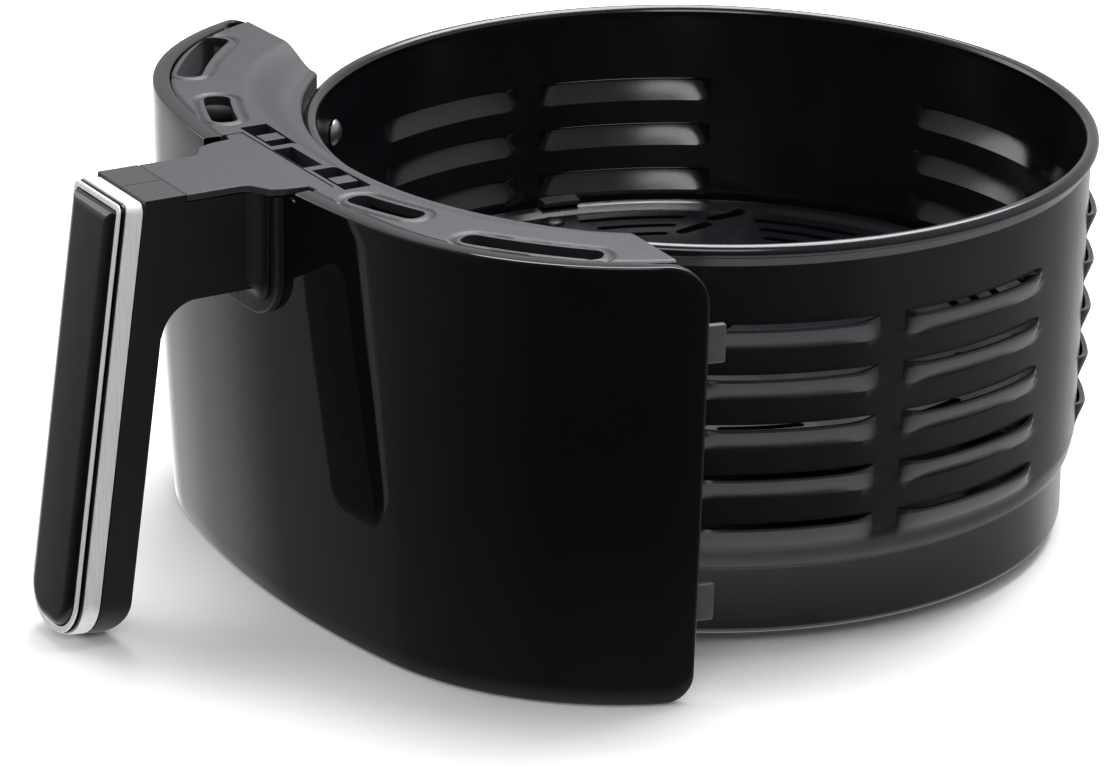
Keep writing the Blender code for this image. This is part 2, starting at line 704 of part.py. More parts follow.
def make_frame(plastic):
    top = [(0.0, FRAME_LIP_Z), (0.20, FRAME_LIP_Z + 0.0006), (0.42, PANEL_TOP - 0.0008),
           (0.50, PANEL_TOP), (1.0, PANEL_TOP)]
    outline = [(0.0, FRAME_FOOT_Z)] + top + [(1.0, FRAME_FOOT_Z)]
    shares = [k / 16 for k in range(-16, 17)]
    frame = loft("top_frame", [frame_section(s, outline) for s in shares], plastic)
    hollow = [(across, z - FRAME_SKIN) for across, z in top]
    hollow = [(0.0, FRAME_FOOT_Z - 0.002)] + hollow + [(1.0, FRAME_FOOT_Z - 0.002)]
    core = CORE_HALF / FRAME_RUN
    for side in (-1, 1):
        reach = [side * fraction(core, 1.0, k / 12) for k in range(13)]
        sections = [frame_section(s, hollow, FRAME_WALL) for s in reach]
        boolean(frame, loft("cut frame hollow", sections))
        for start, stop, radius in FRAME_SLOTS:
            centre = math.radians(-90.0) + side * (start + stop) / 2
            boolean(frame, arc_slot("cut frame slot", radius, centre, (stop - start) / 2,
                                    FRAME_SLOT_W, PANEL_TOP - 0.006, PANEL_TOP + 0.002))
        xs = sorted((side * POCKET_X[0], side * POCKET_X[1]))
        boolean(frame, box("cut clip pocket", (xs[0], POCKET_Y[0], CHANNEL_FLOOR),
                           (xs[1], POCKET_Y[1], PANEL_TOP + 0.002)))
        boolean(frame, turned("cut frame screw hole", [(SCREW_R + SCREW_SLACK, CHANNEL_FLOOR - 0.0012),
                                                       (SCREW_R + SCREW_SLACK, FRAME_FOOT_Z - 0.002)],
                              None, Vector((side * FRAME_SCREW_X, FRAME_SCREW_Y, 0.0)), steps=10))
    boolean(frame, box("cut channel", (-CHANNEL_HALF, CHANNEL_Y[0] - 0.001, CHANNEL_FLOOR),
                       (CHANNEL_HALF, CHANNEL_Y[1], PANEL_TOP + 0.002)))
    boolean(frame, cover_notch("cut frame notch", GAP))
    return frame


def make_clips(plastic):
    for side, name in ((-1, "frame_clip_left"), (1, "frame_clip_right")):
        x, y = side * CLIP_PLACE[0], CLIP_PLACE[1]
        dx, dy = CLIP_SIZE[0] / 2, CLIP_SIZE[1] / 2
        box(name, (x - dx, y - dy, CHANNEL_FLOOR + GAP), (x + dx, y + dy, CLIP_TOP), plastic)


# Handle ---------------------------------------------------------------------------------

def grip_point(x, down, out):
    """Point in the grip's own frame: down its length, and out from its front plane."""
    lean = Vector((0.0, -math.sin(GRIP_LEAN), -math.cos(GRIP_LEAN)))
    face = Vector((0.0, -math.cos(GRIP_LEAN), math.sin(GRIP_LEAN)))
    return Vector((x, GRIP_Y, PANEL_TOP)) + lean * down + face * out


def arc_points(centre, radius, start, stop, count):
    turns = [math.radians(fraction(start, stop, k / count)) for k in range(count + 1)]
    return [(centre[0] + radius * math.cos(t), centre[1] + radius * math.sin(t)) for t in turns]


def handle_outline(arm_top):
    """Side view (y, z) of the arm and the grip body behind its front plane."""
    root = -FRONT_Y - GAP
    step = COVER_FRONT_Y - GAP
    brow = grip_point(0.0, 0.0, -GAP)
    foot = grip_point(0.0, GRIP_LENGTH, -GAP)
    toe = grip_point(0.0, GRIP_LENGTH - 0.0032, -GRIP_T * 0.62)
    heel = grip_point(0.0, GRIP_LENGTH - GRIP_FOOT_ROUND - 0.0010, -GRIP_T)
    crook = grip_point(0.0, PANEL_TOP - ARM_UNDER + CROOK_ROUND * 0.75, -GRIP_T)
    outline = [(root, arm_top), (step, arm_top), (step, PANEL_TOP)]
    outline += [(corner.y, corner.z) for corner in (brow, foot, toe, heel, crook)]
    outline += arc_points((crook.y + CROOK_ROUND, ARM_UNDER - CROOK_ROUND), CROOK_ROUND, 160.0, 95.0, 4)
    outline += [(root, ARM_UNDER)]
    return outline


def rounded_outline(inset, top_round, foot_round, low=TRIM_TOP, half=ARM_HALF, length=GRIP_LENGTH):
    """Front view (x, down) of the grip, inset all round."""
    right, left = half - inset, -half + inset
    top, foot = low + inset, length - inset
    r_top, r_foot = max(0.0006, top_round - inset), max(0.0006, foot_round - inset)
    points = arc_points((right - r_top, top + r_top), r_top, -90.0, 0.0, 2)
    points += arc_points((right - r_foot, foot - r_foot), r_foot, 0.0, 90.0, 5)
    points += arc_points((left + r_foot, foot - r_foot), r_foot, 90.0, 180.0, 5)
    points += arc_points((left + r_top, top + r_top), r_top, 180.0, 270.0, 2)
    return points


def grip_section(points, out):
    return [grip_point(x, down, out) for x, down in points]


def collar_half(side):
    """Half of the flange that seats on the panel around the arm's root."""
    sections = []
    for share in (0.0, 0.35, 0.60, 0.80, 0.93, 1.0):
        x = fraction(-SEAM_LAP / 2, COLLAR_HALF, share)
        turned_in = x - (COLLAR_HALF - COLLAR_ROUND)
        foot = COLLAR_FOOT_Z
        if turned_in > 0.0:
            foot += COLLAR_ROUND - math.sqrt(max(0.0, COLLAR_ROUND ** 2 - turned_in ** 2))
        top = PANEL_TOP - COVER_T - 2.0 * GAP
        ease = 0.0012 if share == 1.0 else 0.0
        corners = [(-GAP, foot), (-COLLAR_T + ease, foot + ease), (-COLLAR_T + ease, top), (-GAP, top)]
        sections.append([front_point(side * x, inset, z) for inset, z in corners])
    return loft("join collar", sections)


def strap_outline(slack):
    """Side view (y, z) of the strap's bar and its leg inside the grip, with slack all round."""
    low, high = STRAP_Z - slack, STRAP_Z + STRAP_T + slack
    end = PANEL_TOP - STRAP_GRIP_END * math.cos(GRIP_LEAN) - slack

    def leg(z, depth):
        front = GRIP_Y + STRAP_DEPTH + (z - PANEL_TOP) * math.tan(GRIP_LEAN)
        return front + depth, z

    back = STRAP_T + slack
    return [(STRAP_NECK_Y, low), (STRAP_NECK_Y, high), leg(high, -slack), leg(end, -slack),
            leg(end, back), leg(low, back)]


def make_handle(plastic):
    arm_top = PANEL_TOP - COVER_T - GAP
    outline = handle_outline(arm_top)
    silhouette = rounded_outline(0.0, TRIM_TOP_ROUND, GRIP_FOOT_ROUND, low=-0.030)
    for side, name in ((-1, "handle_shell_left"), (1, "handle_shell_right")):
        width = ARM_HALF + 2.0 * SEAM_LAP
        half = flat(name, [outline], width, side_plane(side * ARM_HALF / 2), plastic)
        prism = loft("trim grip outline", [grip_section(silhouette, -0.060), grip_section(silhouette, 0.020)])
        boolean(half, prism, "INTERSECT")
        boolean(half, collar_half(side), "UNION")
        seam = sorted((side * GAP / 2, -side * 0.010))
        boolean(half, box("cut seam", (seam[0], GRIP_Y - 0.040, -0.010), (seam[1], 0.0085 - FRONT_Y, PANEL_TOP + 0.004)))
        boolean(half, flat("cut strap pocket", [strap_outline(GAP)], 2.0 * (STRAP_HALF + GAP), side_plane(0.0)))
        for down in GRIP_SCREWS:
            boolean(half, grip_screw("cut grip screw", down, SCREW_SLACK, None))
        boolean(half, turned("cut collar screw", [(SCREW_R + SCREW_SLACK, 0.014), (SCREW_R + SCREW_SLACK, -0.004)],
                             None, Vector((side * COLLAR_SCREW_X, -FRONT_Y, COLLAR_SCREW_Z)),
                             (0.0, -1.0, 0.0), 10))


def make_cover(plastic):
    """Flush lid over the arm that widens where it meets the top frame."""
    plan = [(COVER_FRONT_Y, ARM_HALF), (-FRONT_Y - 0.0060, ARM_HALF), (-FRONT_Y - 0.0030, ARM_HALF + 0.0020),
            (-FRONT_Y - 0.0010, COLLAR_HALF), (0.0075 - FRONT_Y, COVER_NECK), (0.0080 - FRONT_Y, COVER_HALF),
            (COVER_BACK_Y, COVER_HALF)]
    outline = [(x, y) for y, x in plan] + [(-x, y) for y, x in reversed(plan)]
    middle = Matrix.Translation((0.0, 0.0, PANEL_TOP - COVER_T / 2))
    flat("arm_top_cover", [outline], COVER_T, middle, plastic)


def grip_plane(out):
    """Plane parallel to the grip's front, whose outlines are given as (x, down)."""
    origin = grip_point(0.0, 0.0, out)
    across = Vector((1.0, 0.0, 0.0))
    down = grip_point(0.0, 1.0, out) - origin
    turn = Matrix((across, down, across.cross(down))).transposed().to_4x4()
    return Matrix.Translation(origin) @ turn


def make_grip_front(chrome, gloss):
    rounds = (TRIM_TOP_ROUND, GRIP_FOOT_ROUND)
    lip_low = TRIM_T + REVEAL
    for name, inset, wall, low, depth in (("grip_trim", 0.0, TRIM_WALL, 0.0, TRIM_T),
                                          ("insert_lip", LIP_INSET, LIP_WALL, lip_low, LIP_T)):
        outlines = [rounded_outline(inset, *rounds), rounded_outline(inset + wall, *rounds)]
        flat(name, outlines, depth, grip_plane(low + depth / 2), chrome)
    stages = [(TRIM_WALL + GAP, GAP), (TRIM_WALL + GAP, lip_low + LIP_T * 0.6),
              (TRIM_WALL + 0.0010, lip_low + LIP_T + CUSHION_RISE * 0.45),
              (TRIM_WALL + 0.0034, lip_low + LIP_T + CUSHION_RISE * 0.85),
              (TRIM_WALL + 0.0075, lip_low + LIP_T + CUSHION_RISE)]
    sections = [grip_section(rounded_outline(inset, *rounds), out) for inset, out in stages]
    insert = loft("grip_insert", sections, gloss)
    for down in GRIP_SCREWS:
        boolean(insert, grip_screw("cut insert bore", down, SCREW_SLACK, None))


def grip_screw(name, down, slack, material):
    """Screw from the grip's back through the strap into the insert."""
    axis = grip_point(0.0, 0.0, 1.0) - grip_point(0.0, 0.0, 0.0)
    seat = -GRIP_T + SCREW_HEAD_H + 0.0004
    tip = 0.0045
    radius, head = SCREW_R + slack, SCREW_HEAD_R + slack
    start = -GRIP_T - 0.002 if material is None else -GRIP_T + 0.0004
    profile = [(radius, tip + slack), (radius, seat + slack), (head, seat + slack), (head, start)]
    return turned(name, profile, material, grip_point(0.0, down, 0.0), axis, 12)


def make_strap(steel):
    """Strap from the basket's wall, along the arm and down inside the grip."""
    strap = flat("handle_strap", [strap_outline(0.0)], 2.0 * STRAP_HALF, side_plane(0.0), steel)
    front = math.radians(-90.0)
    near = WALL_TOP_R + GAP
    pad = []
    for k in range(5):
        turn = front + fraction(-STRAP_PAD_TURN, STRAP_PAD_TURN, k / 4)
        low, high = STRAP_PAD_Z
        pad.append([polar(near, turn, low), polar(near + STRAP_T, turn, low),
                    polar(near + STRAP_T, turn, high), polar(near, turn, high)])
    boolean(strap, loft("join strap pad", pad), "UNION")
    neck = box("join strap neck", (-STRAP_HALF, STRAP_NECK_Y - 0.0005, STRAP_Z), (STRAP_HALF, -near - 0.0010, STRAP_Z + STRAP_T))
    boolean(strap, neck, "UNION")
    for z in STRAP_RIVET_Z:
        boolean(strap, turned("cut strap rivet", [(SCREW_R + SCREW_SLACK, 0.010), (SCREW_R + SCREW_SLACK, -0.010)],
                              None, Vector((0.0, -near, z)), (0.0, -1.0, 0.0), 12))
    for down in GRIP_SCREWS:
        radius = SCREW_R + SCREW_SLACK
        axis = grip_point(0.0, 0.0, 1.0) - grip_point(0.0, 0.0, 0.0)
        boolean(strap, turned("cut strap screw", [(radius, 0.0), (radius, -GRIP_T)], None,
                              grip_point(0.0, down, 0.0), axis, 12))
    return strap


# Fasteners ------------------------------------------------------------------------------

def pan_head(length):
    """Profile of a pan-head fastener: shank up to z = length, head below z = 0."""
    head = SCREW_HEAD_H
    return [(SCREW_R * 0.6, length), (SCREW_R, length - 0.0008), (SCREW_R, 0.0), (SCREW_HEAD_R, 0.0),
            (SCREW_HEAD_R, -0.35 * head), (0.6 * SCREW_HEAD_R, -head)]


def make_fasteners(steel):
    number = 0
    for turn in post_turns():
        for level in POST_Z:
            number += 1
            seat = wall_radius(level) - WALL - GAP - SCREW_HEAD_R ** 2 / (2.0 * WALL_FOOT_R)
            turned(f"basket_screw_{number}", pan_head(0.0130), steel,
                   polar(seat, turn, level), polar(1.0, turn, 0.0), 12)
    for index, z in enumerate(STRAP_RIVET_Z, 1):
        seat = wall_radius(z) - WALL - GAP - SCREW_HEAD_R ** 2 / (2.0 * WALL_FOOT_R)
        turned(f"strap_rivet_{index}", pan_head(0.0070), steel,
               Vector((0.0, -seat, z)), (0.0, -1.0, 0.0), 12)
    for side, name in ((-1, "collar_screw_left"), (1, "collar_screw_right")):
        seat = front_point(COLLAR_SCREW_X, liner_back() + GAP + 0.0003, COLLAR_SCREW_Z).y
        turned(name, pan_head(0.0150), steel, Vector((side * COLLAR_SCREW_X, seat, COLLAR_SCREW_Z)),
               (0.0, -1.0, 0.0), 12)
    for side, name in ((-1, "frame_screw_left"), (1, "frame_screw_right")):
        turned(name, pan_head(0.0060), steel,
               Vector((side * FRAME_SCREW_X, FRAME_SCREW_Y, FRAME_FOOT_Z - GAP)), steps=12)
    for down, name in zip(GRIP_SCREWS, ("grip_screw_upper", "grip_screw_lower")):
        grip_screw(name, down, 0.0, steel)


def main():
    clear_scene()
    coated = make_material("non-stick coated steel", (0.020, 0.021, 0.023), 0.38, 0.3)
    steel = make_material("zinc plated steel", (0.62, 0.62, 0.62), 0.32, 1.0)
    silicone = make_material("black silicone", (0.015, 0.015, 0.015), 0.75)
    gloss = make_material("gloss black moulding", (0.006, 0.006, 0.007), 0.06)
    satin = make_material("satin black moulding", (0.035, 0.036, 0.038), 0.42)
    grey = make_material("dark grey moulding", (0.10, 0.10, 0.105), 0.50)
    chrome = make_material("bright chrome", (0.80, 0.80, 0.80), 0.12, 1.0)
    make_basket(coated)
    make_plate(coated)
    make_legs(steel, silicone)
    make_bumpers(silicone)
    make_panel(gloss)
    make_liner(satin)
    make_frame(grey)
    make_clips(satin)
    make_handle(satin)
    make_cover(grey)
    make_grip_front(chrome, gloss)
    make_strap(steel)
    make_fasteners(steel)


main()
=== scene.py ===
"""Looks of a round air fryer's basket drawer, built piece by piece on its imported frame.

Sizes are in metres. The basket stands on its axis, +Z is up and the handle points to -Y.
"""

import logging
import math
from collections.abc import Callable, Sequence
from dataclasses import dataclass, field
from enum import Enum

import bmesh
import bpy
from mathutils import Matrix, Vector


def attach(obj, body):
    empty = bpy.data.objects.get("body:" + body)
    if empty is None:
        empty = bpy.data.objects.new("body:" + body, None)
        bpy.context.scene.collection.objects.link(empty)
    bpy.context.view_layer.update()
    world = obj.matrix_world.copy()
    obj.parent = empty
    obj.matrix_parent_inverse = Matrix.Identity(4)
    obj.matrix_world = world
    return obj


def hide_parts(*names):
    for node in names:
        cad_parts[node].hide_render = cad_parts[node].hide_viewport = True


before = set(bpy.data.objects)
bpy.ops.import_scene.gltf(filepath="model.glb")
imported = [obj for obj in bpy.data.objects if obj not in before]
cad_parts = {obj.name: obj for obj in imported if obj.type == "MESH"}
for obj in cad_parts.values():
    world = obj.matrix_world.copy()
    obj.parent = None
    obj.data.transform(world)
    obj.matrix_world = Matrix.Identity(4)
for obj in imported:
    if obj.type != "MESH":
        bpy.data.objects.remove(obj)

log = logging.getLogger("drawer")

Point2 = tuple[float, float]
Point3 = tuple[float, float, float]
Row = tuple[float, float, float, bool]

FRONT_TURN = math.radians(-90.0)
UPWARDS = Vector((0.0, 0.0, 1.0))
SIDES = ((-1.0, "left"), (1.0, "right"))
NOISE_LOW, NOISE_HIGH = 0.3, 0.7
SHANK, SHANK_TIP = 0.0018, 0.0010


class Body(Enum):
    """The two moving groups of the drawer."""

    DRAWER = "drawer"
    CRISPER = "crisper"


class Slot(Enum):
    """The finishes' slots in the part's record."""

    COATED = "coated_steel"
    PLATED = "plated_steel"
    SILICONE = "silicone"
    GLOSS = "gloss_black"
    SATIN = "satin_black"
    GREY = "dark_grey"
    CHROME = "chrome"


# Finishes --------------------------------------------------------------------------------


class NodeSketch:
    """Short calls for laying out a material's nodes."""

    def __init__(self, name: str) -> None:
        """Starts an empty material with one shader.

        Args:
            name: The material's name.
        """
        self.material = bpy.data.materials.new(name)
        self.material.use_nodes = True
        self.tree = self.material.node_tree
        self.shader = self.tree.nodes["Principled BSDF"]

    def add(self, kind: str, **settings: object) -> bpy.types.Node:
        """Adds a node.

        Args:
            kind: The node's type name.
            **settings: Its properties.

        Returns:
            The new node.
        """
        node = self.tree.nodes.new(kind)
        for key, value in settings.items():
            setattr(node, key, value)
        return node

    def link(self, source: bpy.types.NodeSocket, target: bpy.types.NodeSocket) -> None:
        """Joins two sockets."""
        self.tree.links.new(source, target)

    def shader_value(self, **values: object) -> None:
        """Sets sockets on the shader, with underscores for spaces in their names."""
        for key, value in values.items():
            self.shader.inputs[key.replace("_", " ")].default_value = value

    def place(self) -> bpy.types.NodeSocket:
        """Returns the object's own coordinates, in metres."""
        return self.add("ShaderNodeTexCoord").outputs["Object"]

    def noise(self, scale: float, detail: float = 4.0,
              stretch: Sequence[float] | None = None) -> bpy.types.NodeSocket:
        """Adds a noise.

        Args:
            scale: Its scale, in cells per metre.
            detail: Its octaves.
            stretch: A scale along each axis, if it isn't the same.

        Returns:
            The noise's value.
        """
        source = self.place()
        if stretch is not None:
            mapping = self.add("ShaderNodeMapping")
            mapping.inputs["Scale"].default_value = tuple(stretch)
            self.link(source, mapping.inputs["Vector"])
            source = mapping.outputs["Vector"]
        node = self.add("ShaderNodeTexNoise")
        node.inputs["Scale"].default_value = scale
        node.inputs["Detail"].default_value = detail
        self.link(source, node.inputs["Vector"])
        return node.outputs["Fac"]

    def spread(self, value: bpy.types.NodeSocket, low: float, high: float) -> bpy.types.NodeSocket:
        """Maps a noise's middle range to low..high.

        Args:
            value: The noise's value.
            low: The result at the range's lower end.
            high: The result at its upper end.

        Returns:
            The mapped value.
        """
        node = self.add("ShaderNodeMapRange")
        node.inputs["From Min"].default_value = NOISE_LOW
        node.inputs["From Max"].default_value = NOISE_HIGH
        node.inputs["To Min"].default_value = low
        node.inputs["To Max"].default_value = high
        self.link(value, node.inputs["Value"])
        return node.outputs["Result"]

    def tint(self, value: bpy.types.NodeSocket, dark: Sequence[float],
             light: Sequence[float]) -> None:
        """Colours the shader between two shades.

        Args:
            value: A noise, which picks between the two over its middle range.
            dark: The lower colour.
            light: The upper colour.
        """
        ramp = self.add("ShaderNodeValToRGB")
        for element, position, shade in zip(ramp.color_ramp.elements, (NOISE_LOW, NOISE_HIGH),
                                            (dark, light)):
            element.position = position
            element.color = (*shade, 1.0)
        self.link(value, ramp.inputs["Fac"])
        self.link(ramp.outputs["Color"], self.shader.inputs["Base Color"])

    def roughen(self, value: bpy.types.NodeSocket, low: float, high: float) -> None:
        """Varies the shader's roughness with a noise."""
        self.link(self.spread(value, low, high), self.shader.inputs["Roughness"])

    def bump(self, layers: Sequence[tuple[bpy.types.NodeSocket, float, float]]) -> None:
        """Stacks bump layers on the shader.

        Args:
            layers: A height, a strength and a depth in metres for each.
        """
        normal: bpy.types.NodeSocket | None = None
        for height, strength, depth in layers:
            node = self.add("ShaderNodeBump")
            node.inputs["Strength"].default_value = strength
            node.inputs["Distance"].default_value = depth
            self.link(height, node.inputs["Height"])
            if normal is not None:
                self.link(normal, node.inputs["Normal"])
            normal = node.outputs["Normal"]
        if normal is not None:
            self.link(normal, self.shader.inputs["Normal"])


@dataclass(frozen=True)
class NonStickCoating:
    """Sprayed and baked coating on steel: smooth, black and faintly mottled."""

    dark: Point3 = (0.0036, 0.0040, 0.0052)
    light: Point3 = (0.0058, 0.0063, 0.0078)
    roughness: tuple[float, float] = (0.17, 0.22)

    def make(self) -> bpy.types.Material:
        """Lays out the finish.

        Returns:
            The coating's material.
        """
        sketch = NodeSketch("non-stick coating")
        sketch.shader_value(IOR=1.65)
        sketch.tint(sketch.noise(26.0), self.dark, self.light)
        sketch.roughen(sketch.noise(90.0, 5.0), *self.roughness)
        sketch.bump(((sketch.noise(700.0, 2.0), 0.06, 0.0002),
                     (sketch.noise(60.0, 1.0), 0.04, 0.0010)))
        return sketch.material


@dataclass(frozen=True)
class GlossMoulding:
    """Mirror-finished black moulding with the faint ripple of a moulded skin."""

    colour: Point3 = (0.0022, 0.0024, 0.0030)
    roughness: tuple[float, float] = (0.035, 0.060)
    name: str = "gloss black moulding"

    def make(self) -> bpy.types.Material:
        """Lays out the finish.

        Returns:
            The moulding's material.
        """
        sketch = NodeSketch(self.name)
        sketch.shader_value(IOR=1.50)
        dark = tuple(0.8 * part for part in self.colour)
        sketch.tint(sketch.noise(18.0, 3.0), dark, self.colour)
        sketch.roughen(sketch.noise(160.0, 6.0), *self.roughness)
        sketch.bump(((sketch.noise(22.0, 1.0), 0.05, 0.0012),))
        return sketch.material


@dataclass(frozen=True)
class SatinMoulding:
    """Moulded plastic with a fine spark-eroded texture."""

    name: str
    dark: Point3
    light: Point3
    roughness: tuple[float, float]
    grain: float = 0.16

    def make(self) -> bpy.types.Material:
        """Lays out the finish.

        Returns:
            The moulding's material.
        """
        sketch = NodeSketch(self.name)
        sketch.shader_value(IOR=1.49)
        sketch.tint(sketch.noise(35.0, 5.0), self.dark, self.light)
        sketch.roughen(sketch.noise(240.0, 4.0), *self.roughness)
        sketch.bump(((sketch.noise(2600.0, 2.0), self.grain, 0.00012),
                     (sketch.noise(500.0, 2.0), 0.05, 0.0003)))
        return sketch.material


@dataclass(frozen=True)
class BrightMetal:
    """Plated, polished or metal-painted surface with fine lines along one axis."""

    name: str
    colour: Point3
    roughness: tuple[float, float]
    stretch: tuple[float, float, float] = (1.0, 1.0, 0.04)
    depth: float = 0.00002
    metallic: float = 1.0

    def make(self) -> bpy.types.Material:
        """Lays out the finish.

        Returns:
            The metal's material.
        """
        sketch = NodeSketch(self.name)
        sketch.shader_value(Metallic=self.metallic)
        dark = tuple(0.86 * part for part in self.colour)
        lines = sketch.noise(1500.0, 3.0, self.stretch)
        sketch.tint(lines, dark, self.colour)
        sketch.roughen(sketch.noise(1100.0, 3.0, self.stretch), *self.roughness)
        sketch.bump(((lines, 0.12, self.depth),))
        return sketch.material


@dataclass(frozen=True)
class Silicone:
    """Soft black silicone, matte with a dusty bloom."""

    dark: Point3 = (0.004, 0.004, 0.005)
    light: Point3 = (0.008, 0.008, 0.009)

    def make(self) -> bpy.types.Material:
        """Lays out the finish.

        Returns:
            The silicone's material.
        """
        sketch = NodeSketch("black silicone")
        sketch.shader_value(IOR=1.43, Sheen_Weight=0.04, Sheen_Roughness=0.5)
        sketch.tint(sketch.noise(120.0, 6.0), self.dark, self.light)
        sketch.roughen(sketch.noise(400.0, 3.0), 0.55, 0.75)
        sketch.bump(((sketch.noise(1800.0, 3.0), 0.2, 0.00015),))
        return sketch.material


class Finishes:
    """Every material of the drawer, made once."""

    def __init__(self) -> None:
        """Makes the materials."""
        self.coating = NonStickCoating().make()
        self.gloss = GlossMoulding().make()
        self.cushion = GlossMoulding((0.0030, 0.0032, 0.0038), (0.10, 0.16),
                                     "grip cushion").make()
        self.satin = SatinMoulding("satin black moulding", (0.0028, 0.0031, 0.0042),
                                   (0.0046, 0.0050, 0.0062), (0.44, 0.52)).make()
        # The black moulding again at about four times its albedo: painted top light for the frame,
        # the arm cover and the latch blocks, which face up into the overhead light.
        self.grey = SatinMoulding("black moulding with painted top light", (0.0130, 0.0136, 0.0155),
                                  (0.0175, 0.0182, 0.0203), (0.40, 0.48), 0.20).make()
        # The liner's black moulding made about ten times lighter for its side tabs: painted light,
        # not the tabs' own colour.
        self.tab = SatinMoulding("tab moulding with painted light", (0.034, 0.036, 0.040),
                                 (0.046, 0.048, 0.052), (0.42, 0.50), 0.20).make()
        self.chrome = BrightMetal("polished trim", (0.93, 0.93, 0.92), (0.30, 0.36),
                                  metallic=0.55).make()
        even = (1.0, 1.0, 1.0)
        self.zinc = BrightMetal("zinc plated steel", (0.48, 0.48, 0.49), (0.28, 0.40), even,
                                0.00004).make()
        self.blackened = BrightMetal("blackened steel", (0.05, 0.05, 0.055), (0.30, 0.40),
                                     even).make()
        self.silicone = Silicone().make()


# Mesh building ---------------------------------------------------------------------------


def blend_between(start: float, stop: float, share: float) -> float:
    """Returns the value that share of the way from start to stop."""
    return start + (stop - start) * share


def smooth(share: float) -> float:
    """Returns an eased share, flat at 0 and at 1."""
    share = min(1.0, max(0.0, share))
    return share * share * (3.0 - 2.0 * share)


def polar(radius: float, turn: float, z: float) -> Vector:
    """Returns a point from its radius, turn and height."""
    return Vector((radius * math.cos(turn), radius * math.sin(turn), z))


def arc(centre: Point2, radius: float, start: float, stop: float, count: int) -> list[Point2]:
    """Lists points along a circle.

    Args:
        centre: The circle's centre.
        radius: Its radius.
        start: The first point's turn, in degrees.
        stop: The last point's turn, in degrees.
        count: The number of steps.

    Returns:
        The points, both ends included.
    """
    turns = (math.radians(blend_between(start, stop, k / count)) for k in range(count + 1))
    return [(centre[0] + radius * math.cos(t), centre[1] + radius * math.sin(t)) for t in turns]


def rounded(corners: Sequence[tuple[float, float, float]], steps: int = 4) -> list[Point2]:
    """Rounds a closed outline's corners.

    Args:
        corners: Each corner's two coordinates and its radius.
        steps: The steps round each corner.

    Returns:
        The outline's points.
    """
    outline: list[Point2] = []
    count = len(corners)
    for k, (x, y, radius) in enumerate(corners):
        here = Vector((x, y))
        before = Vector(corners[k - 1][:2]) - here
        after = Vector(corners[(k + 1) % count][:2]) - here
        shortest = min(before.length, after.length)
        half = before.angle(after) / 2.0 if radius > 0.0 and shortest >= 1e-9 else math.pi
        if half > math.radians(89.0):
            outline.append((x, y))
            continue
        run = min(radius / math.tan(half), 0.48 * before.length, 0.48 * after.length)
        reach = run * math.tan(half)
        inwards = (before.normalized() + after.normalized()).normalized()
        middle = here + inwards * (reach / math.sin(half))
        first = here + before.normalized() * run - middle
        last = here + after.normalized() * run - middle
        sweep = first.angle_signed(last)
        for step in range(steps + 1):
            turn = -sweep * step / steps
            spot = middle + Matrix.Rotation(turn, 2) @ first
            outline.append((spot.x, spot.y))
    return outline


